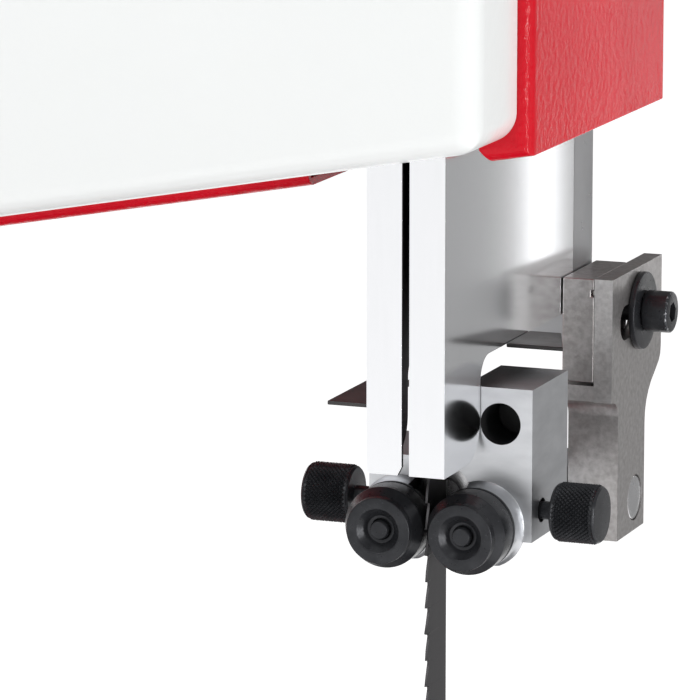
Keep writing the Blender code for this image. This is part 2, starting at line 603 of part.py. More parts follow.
def make_guide_head():
    jaw = box("post_end_block", 13.9, 25.2, 118.5, 155, 10.4, 47, "cast", at=HEAD)
    cut(jaw, cylinder("jaw_thread", "X", (0, 149, GUIDE_Z + 31.3), 4.3, BX + 10, BX + 30, steps=16))
    pivot(jaw, BX, 142, GUIDE_Z)

    # plate seen from the side: upper lobe, then a narrower arm down to the cross pin
    side = [(118.5, 3.5), (126, 3.5), (126, -47.3), (149, -47.3), (156.5, -40),
            (156.5, -12), (159, -4), (172, 6), (174.5, 12), (174.5, 44), (172, 47), (118.5, 47)]
    bracket = flat("guide_bracket", "X", [side], 25.6, 32.2, "cast", at=HEAD)
    join(bracket, box("bracket_foot", 13.9, 26, 118.7, 155.9, 3.7, 10, at=HEAD),
         box("bracket_arm", 14, 26, 126.2, 156.2, -47.1, 4.2, at=HEAD))
    slot = [(143, 27.1), (155, 27.1), (155, 35.5), (143, 35.5)]
    cut(bracket, flat("adjust_slot", "X", [rounded(slot, (4, 4, 4, 4), 3)], 20, 40, at=HEAD),
        cylinder("pin_bore", "X", (0, 146, GUIDE_Z - 35.6), 7.8, BX - 30, BX + 40, steps=20))
    pivot(bracket, BX, 142, GUIDE_Z)

    washer = [(4.2, 32.5), (13, 32.5), (13, 34.5), (4.2, 34.5)]
    pivot(turned("bracket_washer", "X", (0, 149, GUIDE_Z + 31.3),
                 [(r, BX + h) for r, h in washer], "oxide", 24), BX + 33, 149, GUIDE_Z + 31.3)
    screw = [(0, 14.2), (3.9, 14.2), (3.9, 34.8), (6.8, 34.8), (6.8, 45.8), (3.4, 45.8), (3.4, 41),
             (0, 41)]
    pivot(turned("bracket_screw", "X", (0, 149, GUIDE_Z + 31.3),
                 [(r, BX + h) for r, h in screw], "oxide", 20), BX + 40, 149, GUIDE_Z + 31.3)

    pin = [(0, -12), (7.5, -12), (7.5, 32.2), (0, 32.2)]
    pivot(turned("cross_pin", "X", (0, 146, GUIDE_Z - 35.6),
                 [(r, BX + h) for r, h in pin], "steel", 20), BX, 146, GUIDE_Z - 35.6)

    # carrier of the rollers: right wing, low bridge behind the blade and a tail to the pin
    block = box("guide_block", 14.2, 31.9, 35, 85, -30.6, 24.3, "aluminium", at=HEAD)
    join(block, box("block_bridge", -26, 15, 35, 85, -30.5, -1, at=HEAD),
         box("block_tail", -10, 13.4, 84, 156, -46.5, -25, at=HEAD))
    for side in (-1, 1):
        join(block, cylinder("roller_boss_%d" % (side + 1), "Y", (BX + side * 14.5, 0, GUIDE_Z - 22.5),
                             13.4, 29.2, 36, steps=20))
    cut(block, box("blade_path", -2, 2, 20, 40, -60, 30, at=HEAD),
        cylinder("thrust_pocket", "Y", (BX, 0, GUIDE_Z - 14), 11, 20, 56, steps=20),
        cylinder("thrust_bore", "Y", (BX, 0, GUIDE_Z - 14), 4.9, 40, 90, steps=12),
        cylinder("slide_bore", "Y", (BX + 22, 0, GUIDE_Z + 12.1), 7.3, 30, 95, steps=20),
        cylinder("tail_bore", "X", (0, 146, GUIDE_Z - 35.6), 7.8, BX - 15, BX + 20, steps=20))
    for side in (-1, 1):
        x = BX + side * 14.5
        cut(block, cylinder("shaft_bore_%d" % (side + 1), "Y", (x, 0, GUIDE_Z - 22.5), 4.6, 25, 90,
                            steps=16))
        x0, x1 = sorted((BX + side * 19.6, BX + side * 40))
        cut(block, cylinder("clamp_bore_%d" % (side + 1), "X", (0, 45.5, GUIDE_Z - 18.5), 3.5, x0, x1,
                            steps=12))
    pivot(block, BX, 146, GUIDE_Z - 35.6)

    rod = cylinder("thrust_slide", "Y", (BX + 22, 0, GUIDE_Z + 12.1), 6.9, 46, 98, "oxide", 20)
    arm = [(26, 19), (16, 19), (-6, -8), (-6, -20), (6, -20), (29, 8)]
    join(rod, flat("thrust_arm", "Y", [arm], 87, 97, at=HEAD),
         cylinder("thrust_spindle", "Y", (BX, 0, GUIDE_Z - 14), 4.3, 40.6, 95, steps=12))
    pivot(rod, BX + 22, 92, GUIDE_Z + 12.1)
    ring = [(4.7, 39.1), (10, 39.1), (10, 47.6), (4.7, 47.6)]
    pivot(turned("thrust_roller", "Y", (BX, 0, GUIDE_Z - 14), ring, "oxide", 24), BX, 43, GUIDE_Z - 14)

    roller = [(4.8, 17.5), (7, 17.5), (7, 12.5), (11.8, 12.5), (13.8, 17.2), (13.8, 28.7),
              (4.8, 28.7)]
    shaft = [(0, 13.6), (3.2, 13.6), (3.2, 17), (4.2, 17), (4.2, 60), (0, 60)]
    knob = [(0, 20.2), (3.1, 20.2), (3.1, 32.8), (8.6, 35.2), (10.2, 37), (10.2, 51), (8.6, 52.8),
            (0, 52.8)]
    for tag, side in (("left", -1), ("right", 1)):
        x = BX + side * 14.5
        pivot(turned(tag + "_roller", "Y", (x, 0, GUIDE_Z - 22.5), roller, "oxide", 24),
              x, 20, GUIDE_Z - 22.5)
        pivot(turned(tag + "_roller_shaft", "Y", (x, 0, GUIDE_Z - 22.5), shaft, "oxide", 16),
              x, 35, GUIDE_Z - 22.5)
        pivot(turned(tag + "_thumb_screw", "X", (0, 45.5, GUIDE_Z - 18.5),
                     [(r, BX + side * h) for r, h in knob], "oxide", 20),
              BX + side * 44, 45.5, GUIDE_Z - 18.5)


def make_plates():
    left = [(-13.9, -8), (-13.9, 34), (-27, 15), (-29, 4)]
    pivot(flat("chip_plate_left", "Z", [left], 21, 22.4, "grey", at=HEAD), BX, 142, GUIDE_Z)
    right = flat("chip_plate_right", "Z", [[(13.9, 60), (34, 60), (34, 79), (13.9, 79)]], 33, 34.4,
                 "grey", at=HEAD)
    pivot(join(right, box("plate_flange", 13.9, 15.2, 62, 78, 33.5, 44, at=HEAD)), BX, 142, GUIDE_Z)


def make_lower_guide():
    head = (BX, 0.0, LOWER_GUIDE_Z)
    block = box("lower_guide_block", -30, 30, 44, 60.6, -38, -6, "cast", at=head)
    for side in (-1, 1):
        x = BX + side * 14.5
        join(block, cylinder("lower_boss_%d" % (side + 1), "Y", (x, 0, LOWER_GUIDE_Z - 22.5), 8,
                             40.8, 45, steps=12),
             cylinder("lower_stud_%d" % (side + 1), "Y", (x, 0, LOWER_GUIDE_Z - 22.5), 4.2, 20, 45,
                      steps=12))
        roller = [(4.5, 22), (13.6, 22), (13.6, 40.4), (4.5, 40.4)]
        tag = "lower_left_roller" if side < 0 else "lower_right_roller"
        pivot(turned(tag, "Y", (x, 0, LOWER_GUIDE_Z - 22.5), roller, "oxide", 20),
              x, 30, LOWER_GUIDE_Z - 22.5)


make_base()
make_lower_housing()
make_column()
make_upper_housing()
make_doors()
make_hinge("upper_hinge", (1360, 1670))
make_hinge("lower_hinge", (230, 700))
make_latch("upper_door_latch", 1705)
make_latch("lower_door_latch", 760)
make_wheels()
make_blade_and_belt()
make_wheel_mount()
make_drive()
make_table()
make_fence()
make_switch()
make_post()
make_guard()
make_guide_head()
make_plates()
make_lower_guide()
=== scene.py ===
import json
import math

import bmesh
import bpy
from mathutils import Matrix, Vector


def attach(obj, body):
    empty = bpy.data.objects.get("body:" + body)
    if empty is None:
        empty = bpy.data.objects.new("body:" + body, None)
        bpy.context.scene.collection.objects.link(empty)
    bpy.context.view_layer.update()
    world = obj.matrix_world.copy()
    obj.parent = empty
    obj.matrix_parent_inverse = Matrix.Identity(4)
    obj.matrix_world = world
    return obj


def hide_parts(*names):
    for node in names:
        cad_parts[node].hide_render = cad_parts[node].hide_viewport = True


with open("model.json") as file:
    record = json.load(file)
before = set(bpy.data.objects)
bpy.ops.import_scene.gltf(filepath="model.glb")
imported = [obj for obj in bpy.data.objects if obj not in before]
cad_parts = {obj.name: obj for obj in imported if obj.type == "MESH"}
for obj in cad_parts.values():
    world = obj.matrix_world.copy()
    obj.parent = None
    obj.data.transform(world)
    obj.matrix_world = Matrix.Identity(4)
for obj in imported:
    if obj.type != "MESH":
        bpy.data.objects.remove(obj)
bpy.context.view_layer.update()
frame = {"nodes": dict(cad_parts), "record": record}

# Lengths are in millimetres, in the same layout as the solid model: x to the open end of the
# throat, y away from the operator, z up.  mm() gives metres in the row frame.
BX = 225.4
GUIDE_Z = 1215.0
HEAD = (BX, 0.0, GUIDE_Z)
UPPER_Z, LOWER_Z = 1535.0, 590.0
SIDE_L, SIDE_R = -275.0, 261.0
HOUSING_TOP, LOWER_TOP = 1785.0, 835.0
TABLE_Z = 950.0
CORNER_Z, SLOPE = 1319.6, 0.1835
MOTOR_X, MOTOR_Z = -120.0, 230.0
LOW_HEAD_Z = 894.5
BODY_OF = {n: b for b, ns in frame["record"]["behaviour"]["bodies"].items() for n in ns}


def mm(x, y, z):
    return Vector((x, y - 50.0, z)) * 0.001


def housing_line(x):
    """Height of the upper housing's sloping underside."""
    return CORNER_Z - SLOPE * (SIDE_R - x)


# ------------------------------------------------------------------ camera, light, floor
scene = bpy.context.scene
for old in [o for o in bpy.data.objects if o.type in {"CAMERA", "LIGHT"}]:
    bpy.data.objects.remove(old)
AZ, EL = math.radians(21.1), math.radians(11.2)
BACK = Vector((math.sin(AZ) * math.cos(EL), -math.cos(AZ) * math.cos(EL), math.sin(EL)))
lens = bpy.data.cameras.new("camera")
lens.lens, lens.sensor_width = 257.14, 36.0
lens.clip_start, lens.clip_end = 0.05, 200.0
camera = bpy.data.objects.new("camera", lens)
camera.location = (0.78454, -1.54932, 1.57401)
camera.rotation_euler = BACK.to_track_quat("Z", "Y").to_euler()
scene.collection.objects.link(camera)
scene.camera = camera
scene.view_settings.view_transform = "Standard"
scene.view_settings.look = "None"


def area(name, place, aim, size, power, height=None):
    data = bpy.data.lights.new(name, "AREA")
    data.energy, data.size = power, size
    if height:
        data.shape, data.size_y = "RECTANGLE", height
    obj = bpy.data.objects.new(name, data)
    obj.location = place
    obj.rotation_euler = (Vector(place) - Vector(aim)).to_track_quat("Z", "Y").to_euler()
    scene.collection.objects.link(obj)
    return obj


area("key", (-1.9, -3.4, 3.4), (0.1, 0, 1.2), 2.4, 41)
area("right", (3.5, -1.3, 1.25), (0.2, 0, 1.25), 0.19, 40, 2.3)
area("top", (0.2, -0.6, 4.6), (0.1, 0, 1.0), 2.6, 16)
area("rear", (-3.6, 2.6, 2.8), (0.0, 0, 1.0), 2.2, 34)
strip = area("strip", (0.3038, 0.235, 1.30), (0.239, 0.06, 1.30), 0.008, 0.0105, 0.16)
strip.visible_camera = False

world = bpy.data.worlds.new("studio")
world.use_nodes = True
scene.world = world
wt = world.node_tree
wt.nodes.clear()


def add(tree, kind, **values):
    node = tree.nodes.new(kind)
    for key, value in values.items():
        setattr(node, key, value)
    return node


coord = add(wt, "ShaderNodeTexCoord")
split = add(wt, "ShaderNodeSeparateXYZ")
wt.links.new(coord.outputs["Generated"], split.inputs[0])
side = add(wt, "ShaderNodeMapRange")
side.inputs["From Min"].default_value, side.inputs["From Max"].default_value = 0.25, 0.95
side.inputs["To Min"].default_value, side.inputs["To Max"].default_value = 0.52, 0.12
wt.links.new(split.outputs["Y"], side.inputs["Value"])
path = add(wt, "ShaderNodeLightPath")
pick = add(wt, "ShaderNodeMix")
pick.data_type = "FLOAT"
wt.links.new(path.outputs["Is Camera Ray"], pick.inputs[0])
wt.links.new(side.outputs[0], pick.inputs[2])
pick.inputs[3].default_value = 1.0
sky = add(wt, "ShaderNodeBackground")
wt.links.new(pick.outputs[0], sky.inputs["Strength"])
sky.inputs["Color"].default_value = (1, 1, 1, 1)
out = add(wt, "ShaderNodeOutputWorld")
wt.links.new(sky.outputs[0], out.inputs["Surface"])


# ------------------------------------------------------------------ materials
def socket(shader, name, value):
    shader.inputs[name].default_value = value


def make_material(name, colour, rough, metal=0.0, second=None, mottle=40.0, rough_spread=0.06,
        bump=0.0, bump_size=300.0, stretch=(1, 1, 1), pits=0.0, pit_size=900.0,
        cells=0.0, cell_size=400.0, coat=0.0, coat_rough=0.1, ior=1.5, speck=None,
        speck_size=700.0, speck_limit=0.66, haze=0.0):
    mat = bpy.data.materials.new(name)
    mat.use_nodes = True
    tree = mat.node_tree
    shader = tree.nodes["Principled BSDF"]
    link = tree.links.new
    socket(shader, "Metallic", metal)
    socket(shader, "IOR", ior)
    socket(shader, "Coat Weight", coat)
    socket(shader, "Coat Roughness", coat_rough)
    where = add(tree, "ShaderNodeTexCoord")
    mapping = add(tree, "ShaderNodeMapping")
    mapping.inputs["Scale"].default_value = stretch
    link(where.outputs["Object"], mapping.inputs["Vector"])

    def noise(scale, detail=4.0, plain=False):
        node = add(tree, "ShaderNodeTexNoise")
        node.inputs["Scale"].default_value = scale
        node.inputs["Detail"].default_value = detail
        link((where.outputs["Object"] if plain else mapping.outputs["Vector"]), node.inputs["Vector"])
        return node

    cloud = noise(mottle)
    second = second or tuple(c * 0.86 for c in colour)
    blend = add(tree, "ShaderNodeValToRGB")
    blend.color_ramp.elements[0].position, blend.color_ramp.elements[1].position = 0.32, 0.68
    blend.color_ramp.elements[0].color = (*second, 1)
    blend.color_ramp.elements[1].color = (*colour, 1)
    link(cloud.outputs["Fac"], blend.inputs["Fac"])
    tint = blend.outputs["Color"]
    if speck:
        dots = noise(speck_size, 2.0, plain=True)
        edge = add(tree, "ShaderNodeValToRGB")
        edge.color_ramp.elements[0].position = speck_limit
        edge.color_ramp.elements[1].position = min(speck_limit + 0.09, 1.0)
        link(dots.outputs["Fac"], edge.inputs["Fac"])
        mix = add(tree, "ShaderNodeMix")
        mix.data_type = "RGBA"
        link(edge.outputs["Color"], mix.inputs[0])
        link(tint, mix.inputs[6])
        mix.inputs[7].default_value = (*speck, 1)
        tint = mix.outputs[2]
    link(tint, shader.inputs["Base Color"])
    vary = add(tree, "ShaderNodeMapRange")
    vary.inputs["To Min"].default_value = max(rough - rough_spread, 0.02)
    vary.inputs["To Max"].default_value = rough + rough_spread
    link(noise(mottle * 3.1).outputs["Fac"], vary.inputs["Value"])
    rough_out = vary.outputs[0]
    if haze:
        parts = add(tree, "ShaderNodeSeparateXYZ")
        link(where.outputs["Generated"], parts.inputs[0])
        low = add(tree, "ShaderNodeMapRange", interpolation_type="SMOOTHSTEP")
        low.inputs["From Min"].default_value, low.inputs["From Max"].default_value = 0.04, 0.15
        low.inputs["To Min"].default_value, low.inputs["To Max"].default_value = haze, 0.0
        link(parts.outputs["Z"], low.inputs["Value"])
        total = add(tree, "ShaderNodeMath", operation="ADD")
        link(rough_out, total.inputs[0])
        link(low.outputs[0], total.inputs[1])
        rough_out = total.outputs[0]
    link(rough_out, shader.inputs["Roughness"])
    height = None

    def pile(value, amount):
        nonlocal height
        scaled = add(tree, "ShaderNodeMath", operation="MULTIPLY")
        link(value, scaled.inputs[0])
        scaled.inputs[1].default_value = amount
        if height is None:
            height = scaled.outputs[0]
        else:
            total = add(tree, "ShaderNodeMath", operation="ADD")
            link(height, total.inputs[0])
            link(scaled.outputs[0], total.inputs[1])
            height = total.outputs[0]

    if bump:
        pile(noise(bump_size, 6.0).outputs["Fac"], bump)
    if pits:
        pile(noise(pit_size, 2.0, plain=True).outputs["Fac"], pits)
    if cells:
        grid = add(tree, "ShaderNodeTexVoronoi", feature="SMOOTH_F1")
        grid.inputs["Scale"].default_value = cell_size
        grid.inputs["Smoothness"].default_value = 0.6
        link(where.outputs["Object"], grid.inputs["Vector"])
        pile(grid.outputs["Distance"], cells)
    if height is not None:
        relief = add(tree, "ShaderNodeBump")
        relief.inputs["Strength"].default_value = 1.0
        relief.inputs["Distance"].default_value = 0.001
        link(height, relief.inputs["Height"])
        link(relief.outputs["Normal"], shader.inputs["Normal"])
    return mat


M = {
        "red": make_material("red_hammer_paint", (0.66, 0.003, 0.016), 0.13, second=(0.56, 0.002, 0.012),
        mottle=9, bump=0.42, bump_size=330, pits=0.10, pit_size=900, ior=1.29),
        "white": make_material("white_paint", (0.83, 0.845, 0.84), 0.20, second=(0.815, 0.83, 0.825),
        mottle=6, bump=0.16, bump_size=150, coat=0.2, coat_rough=0.1, ior=1.45),
        "satin": make_material("satin_aluminium", (0.86, 0.865, 0.885), 0.15, 1.0, rough_spread=0.01,
        second=(0.83, 0.84, 0.855), mottle=60, stretch=(20, 20, 0.6), haze=0.30),
        # bright metal for bevelled edges: worn edges in part, and in part a painted highlight along
        # rounded edges
        "edge": make_material("worn_and_highlight_edge", (0.93, 0.93, 0.94), 0.24, 1.0, mottle=300),
        "milled": make_material("milled_aluminium", (0.64, 0.65, 0.67), 0.34, 1.0,
        second=(0.54, 0.55, 0.57), mottle=60, stretch=(1, 1, 3)),
        "cast": make_material("cast_steel", (0.50, 0.485, 0.48), 0.36, 0.9, second=(0.36, 0.343, 0.338),
        mottle=520, bump=0.05, bump_size=900, pits=0.035, pit_size=1700),
        "iron": make_material("dark_casting", (0.24, 0.24, 0.245), 0.50, 0.75, second=(0.17, 0.17, 0.172),
        mottle=30, bump=0.25, bump_size=350, pits=0.08, pit_size=900),
        "ground": make_material("ground_iron", (0.56, 0.56, 0.57), 0.28, 1.0, second=(0.47, 0.47, 0.48),
        mottle=14, bump=0.02, bump_size=60, stretch=(1, 40, 1)),
        "drawn": make_material("drawn_steel", (0.37, 0.37, 0.38), 0.30, 1.0, second=(0.34, 0.34, 0.35),
        mottle=60),
        # lighter cast steel for the bracket's front faces: painted light
        "painted_light_cast": make_material("painted_light_cast_steel", (0.68, 0.67, 0.665), 0.38, 0.9,
        second=(0.52, 0.51, 0.505), mottle=620, bump=0.05, bump_size=900),
        "steel": make_material("bright_steel", (0.66, 0.66, 0.67), 0.26, 1.0, second=(0.56, 0.56, 0.57),
        mottle=50),
        "oxide": make_material("black_oxide", (0.034, 0.035, 0.039), 0.29, 0.35,
        second=(0.020, 0.021, 0.024), mottle=160, bump=0.012, bump_size=1200, speck=(0.05, 0.052, 0.058),
        speck_size=1500, speck_limit=0.66, ior=1.35),
        "knurl": make_material("knurled_oxide", (0.12, 0.12, 0.123), 0.36, 0.4,
        second=(0.05, 0.05, 0.052),
        mottle=300, speck=(0.16, 0.16, 0.165), speck_size=1500, speck_limit=0.60),
        "worn": make_material("worn_oxide", (0.07, 0.072, 0.078), 0.28, 0.8, second=(0.03, 0.031, 0.035),
        mottle=500, bump=0.02, bump_size=1500, speck=(0.40, 0.40, 0.42),
        speck_size=1100, speck_limit=0.58),
        "blade": make_material("blade_steel", (0.085, 0.082, 0.085), 0.36, 0.85,
        second=(0.062, 0.060, 0.063), mottle=35, bump=0.01, bump_size=120, stretch=(1, 1, 0.1)),
        "black": make_material("black_plastic", (0.022, 0.022, 0.024), 0.36, second=(0.016, 0.016, 0.018),
        mottle=40, bump=0.05, bump_size=900),
        "gloss": make_material("gloss_plastic", (0.014, 0.014, 0.016), 0.16, mottle=40, coat=0.4),
        "rubber": make_material("rubber", (0.028, 0.027, 0.026), 0.75, second=(0.018, 0.018, 0.017),
        mottle=25, bump=0.15, bump_size=500),
        "grey": make_material("grey_paint", (0.115, 0.12, 0.125), 0.40, second=(0.10, 0.105, 0.11),
        mottle=10, cells=-0.25, cell_size=330, coat=0.2),
        "motor": make_material("motor_paint", (0.16, 0.17, 0.18), 0.42, second=(0.13, 0.138, 0.145),
        mottle=20, bump=0.16, bump_size=420),
        "plate": make_material("plate_steel", (0.075, 0.072, 0.072), 0.34, 0.8,
        second=(0.05, 0.048, 0.048), mottle=60, bump=0.03, bump_size=500),
        "green": make_material("green_button", (0.01, 0.30, 0.07), 0.28, mottle=60, coat=0.3),
        "stop": make_material("red_button", (0.62, 0.012, 0.012), 0.28, mottle=60, coat=0.3),
        "zinc": make_material("zinc_screw", (0.70, 0.70, 0.68), 0.30, 1.0, mottle=200),
        # near-black painted shade for recesses: inside the guard channel, the block's bore and the slide
        # in it
        "dark": make_material("painted_shade_inside", (0.012, 0.012, 0.013), 0.55, mottle=60),
}


def stage_plane(name, corners, mat, glow):
    """A glowing plane that belongs to the picture and not to the part."""
    mesh = bpy.data.meshes.new(name)
    mesh.from_pydata(corners, [], [(0, 1, 2, 3)])
    plane = bpy.data.objects.new(name, mesh)
    scene.collection.objects.link(plane)
    mesh.materials.append(mat)
    shader = mat.node_tree.nodes["Principled BSDF"]
    socket(shader, "Emission Color", (1, 1, 1, 1))
    socket(shader, "Emission Strength", glow)
    return plane


floor = stage_plane("floor", [(-45, -45, 0), (45, -45, 0), (45, 45, 0), (-45, 45, 0)],
        make_material("pale_floor", (0.93, 0.93, 0.93), 0.85, second=(0.92, 0.92, 0.92), mottle=0.5),
        0.62)
# grey card behind the machine, seen only in reflections
card = stage_plane("card", [(0.30, 2.1, 0.01), (3.9, 1.5, 0.01), (3.9, 1.5, 2.5), (0.30, 2.1, 2.5)],
        make_material("grey_card", (0.0, 0.0, 0.0), 1.0), 0.36)
card.visible_camera = card.visible_diffuse = card.visible_shadow = card.visible_transmission = False


# ------------------------------------------------------------------ shape helpers
def set_materials(obj, mats):
    obj.data.materials.clear()
    for key in ([mats] if isinstance(mats, str) else mats):
        obj.data.materials.append(M[key])


def finish_mesh(obj, mats, smooth=35.0):
    set_materials(obj, mats)
    obj.data.shade_smooth()
    obj.data.set_sharp_from_angle(angle=math.radians(smooth))
    return obj


def place(name, mesh, mats=None, smooth=35.0):
    obj = bpy.data.objects.new(name, mesh)
    scene.collection.objects.link(obj)
    if mats:
        finish_mesh(obj, mats, smooth)
    return obj


def from_bm(name, bm, mats=None, smooth=35.0):
    bmesh.ops.recalc_face_normals(bm, faces=bm.faces)
    mesh = bpy.data.meshes.new(name)
    bm.to_mesh(mesh)
    bm.free()
    return place(name, mesh, mats, smooth)


def bake(obj):
    """Modifiers applied, in place."""
    graph = bpy.context.evaluated_depsgraph_get()
    mesh = bpy.data.meshes.new_from_object(obj.evaluated_get(graph), depsgraph=graph)
    obj.modifiers.clear()
    obj.data = mesh
    return obj


def clean(obj):
    bm = bmesh.new()
    bm.from_mesh(obj.data)
    bmesh.ops.remove_doubles(bm, verts=bm.verts, dist=2e-6)
    bmesh.ops.dissolve_limit(bm, angle_limit=0.01, verts=bm.verts, edges=bm.edges)
    bmesh.ops.recalc_face_normals(bm, faces=bm.faces)
    bm.to_mesh(obj.data)
    bm.free()
    return obj


def boolean(obj, others, operation):
    for other in others:
        mod = obj.modifiers.new("b", "BOOLEAN")
        mod.object, mod.operation, mod.solver = other, operation, "EXACT"
    bpy.context.view_layer.update()
    bake(obj)
    for other in others:
        bpy.data.objects.remove(other, do_unlink=True)
    return clean(obj)


def cut(obj, *others):
    return boolean(obj, others, "DIFFERENCE")


def join(obj, *others):
    return boolean(obj, others, "UNION")


def soften(obj, width, mats, segments=2, angle=30.0, edge_slot=None):
    """Rounded edges with shading that stays flat on the faces; worn edges and painted edge highlights may
    use another slot.
    """
    mod = obj.modifiers.new("edges", "BEVEL")
    mod.width, mod.segments = width * 0.001, segments
    mod.limit_method, mod.angle_limit = "ANGLE", math.radians(angle)
    set_materials(obj, mats)
    if edge_slot is not None:
        mod.material = edge_slot
    bpy.context.view_layer.update()
    bake(obj)
    obj.data.shade_smooth()
    obj.data.set_sharp_from_angle(angle=math.radians(60))
    weigh = obj.modifiers.new("flat_faces", "WEIGHTED_NORMAL")
    weigh.keep_sharp, weigh.weight = True, 80
    bake(obj)
    return obj


def box(x0, x1, y0, y1, z0, z1, at=(0, 0, 0)):
    bm = bmesh.new()
    bmesh.ops.create_cube(bm, size=1.0)
    size = Vector((x1 - x0, y1 - y0, z1 - z0)) * 0.001
    mid = mm((x0 + x1) / 2 + at[0], (y0 + y1) / 2 + at[1], (z0 + z1) / 2 + at[2])
    bmesh.ops.transform(bm, verts=bm.verts, matrix=Matrix.Translation(mid) @ Matrix.Diagonal((*size, 1)))
    return from_bm("box", bm)


TURN = {"X": Matrix.Rotation(math.pi / 2, 4, "Y"), "Y": Matrix.Rotation(-math.pi / 2, 4, "X"),
        "Z": Matrix.Identity(4)}
PLANE = {"Z": Matrix.Identity(4),
        "Y": Matrix(((1, 0, 0, 0), (0, 0, -1, 0), (0, 1, 0, 0), (0, 0, 0, 1))),
        "X": Matrix(((0, 0, 1, 0), (1, 0, 0, 0), (0, 1, 0, 0), (0, 0, 0, 1)))}


def polar(radius, degrees, x=0.0, y=0.0):
    a = math.radians(degrees)
    return x + radius * math.cos(a), y + radius * math.sin(a)


def on_axis(axis, centre):
    """From a part drawn along its own Z to its place along an axis of the machine."""
    base = list(centre)
    base["XYZ".index(axis)] = 0.0
    return Matrix.Translation(mm(*base)) @ TURN[axis]


def fillet(points, radius, closed=True, steps=3):
    """Small rounding on every corner of a profile; radius may be one number or one per corner."""
    result = []
    count = len(points)
    for i, q in enumerate(points):
        r = radius[i] if isinstance(radius, (list, tuple)) else radius
        if r <= 0 or (not closed and i in (0, count - 1)):
            result.append(tuple(q))
            continue
        p, q, s = Vector(points[i - 1]), Vector(q), Vector(points[(i + 1) % count])
        a, b = p - q, s - q
        la, lb = a.length, b.length
        a, b = a.normalized(), b.normalized()
        half = a.angle(b) / 2
        if half > 1.5:
            result.append(tuple(q))
            continue
        reach = min(r / math.tan(half), 0.45 * la, 0.45 * lb)
        r = reach * math.tan(half)
        middle = q + (a + b).normalized() * (r / math.sin(half))
        start, end = q + a * reach - middle, q + b * reach - middle
        for k in range(steps + 1):
            result.append(tuple(middle + start.lerp(end, k / steps).normalized() * r))
    return result


def lathe(name, axis, centre, profile, mats, steps=96, edge=0.35, paint=None, smooth=30.0):
    """Turned piece; profile of (radius, position).  paint(radius, position) gives a slot."""
    solid = profile[0][0] == 0 and profile[-1][0] == 0
    line = fillet(profile, edge, closed=not solid) if edge else list(profile)
    bm = bmesh.new()
    place_at = on_axis(axis, centre)
    rings = []
    for r, h in line:
        if r < 1e-6:
            rings.append([bm.verts.new(place_at @ Vector((0, 0, h * 0.001)))])
        else:
            rings.append([bm.verts.new(place_at @ (Vector((r * math.cos(2 * math.pi * k / steps),
                    r * math.sin(2 * math.pi * k / steps), h))
                    * 0.001)) for k in range(steps)])
    count = len(rings)
    for i in range(count if not solid else count - 1):
        a, b = rings[i], rings[(i + 1) % count]
        slot = 0
        if paint:
            (r0, h0), (r1, h1) = line[i], line[(i + 1) % count]
            slot = paint((r0 + r1) / 2, (h0 + h1) / 2)
        for k in range(steps):
            n = (k + 1) % steps
            corners = ([a[0], b[k], b[n]] if len(a) == 1 else [a[k], b[0], a[n]] if len(b) == 1
                    else [a[k], b[k], b[n], a[n]])
            bm.faces.new(corners).material_index = slot
    return from_bm(name, bm, mats, smooth)


def curve_mesh(name, curve, matrix):
    tmp = bpy.data.objects.new(name, curve)
    scene.collection.objects.link(tmp)
    tmp.matrix_world = matrix
    bpy.context.view_layer.update()
    graph = bpy.context.evaluated_depsgraph_get()
    mesh = bpy.data.meshes.new_from_object(tmp.evaluated_get(graph), depsgraph=graph)
    mesh.transform(tmp.matrix_world)
    bpy.data.objects.remove(tmp, do_unlink=True)
    return mesh


def flat(name, axis, outlines, a0, a1, at=(0, 0, 0)):
    """Outline with holes, extruded along an axis."""
    curve = bpy.data.curves.new(name, "CURVE")
    curve.dimensions, curve.fill_mode = "2D", "BOTH"
    curve.extrude = (a1 - a0) * 0.0005
    for outline in outlines:
        spline = curve.splines.new("POLY")
        spline.points.add(len(outline) - 1)
        for point, (u, v) in zip(spline.points, outline):
            point.co = (u * 0.001, v * 0.001, 0.0, 1.0)
        spline.use_cyclic_u = True
    mid = list(at)
    mid["XYZ".index(axis)] += (a0 + a1) / 2
    mesh = curve_mesh(name, curve, Matrix.Translation(mm(*mid)) @ PLANE[axis])
    return clean(place(name, mesh))


def arc(cx, cy, r, a0, a1, steps):
    return [(cx + r * math.cos(math.radians(a0 + (a1 - a0) * i / steps)),
             cy + r * math.sin(math.radians(a0 + (a1 - a0) * i / steps))) for i in range(steps + 1)]


def rod(axis, centre, radius, a0, a1, steps=64, mats=None):
    return lathe("rod", axis, centre, [(0, a0), (radius, a0), (radius, a1), (0, a1)], mats, steps, 0)


def rods_around(x, z, reach, angles, radius, y0, y1, steps):
    """Rods along Y, standing on a circle about (x, z)."""
    rods = []
    for degrees in angles:
        rx, rz = polar(reach, degrees, x, z)
        rods.append(rod("Y", (rx, 0, rz), radius, y0, y1, steps))
    return rods


def merge(name, *objs):
    """One object from several closed pieces that touch or sit on each other."""
    bm = bmesh.new()
    mats = []
    for obj in objs:
        start = len(bm.faces)
        bm.from_mesh(obj.data)
        bm.faces.ensure_lookup_table()
        index = []
        for mat in obj.data.materials:
            if mat not in mats:
                mats.append(mat)
            index.append(mats.index(mat))
        for face in bm.faces[start:]:
            face.material_index = index[face.material_index] if index else 0
        bpy.data.objects.remove(obj, do_unlink=True)
    mesh = bpy.data.meshes.new(name)
    bm.to_mesh(mesh)
    bm.free()
    for mat in mats:
        mesh.materials.append(mat)
    return place(name, mesh)


def stand(obj, node, *more):
    """The piece takes over from CAD nodes and rides on their body."""
    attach(obj, BODY_OF[node])
    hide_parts(node, *more)
    return obj


def cad_copy(node):
    return clean(place(node + "_piece", frame["nodes"][node].data.copy()))


def refined(node, width, mats, segments=2, angle=30.0):
    """Copy of a CAD node with rounded edges."""
    return stand(soften(cad_copy(node), width, mats, segments, angle), node)


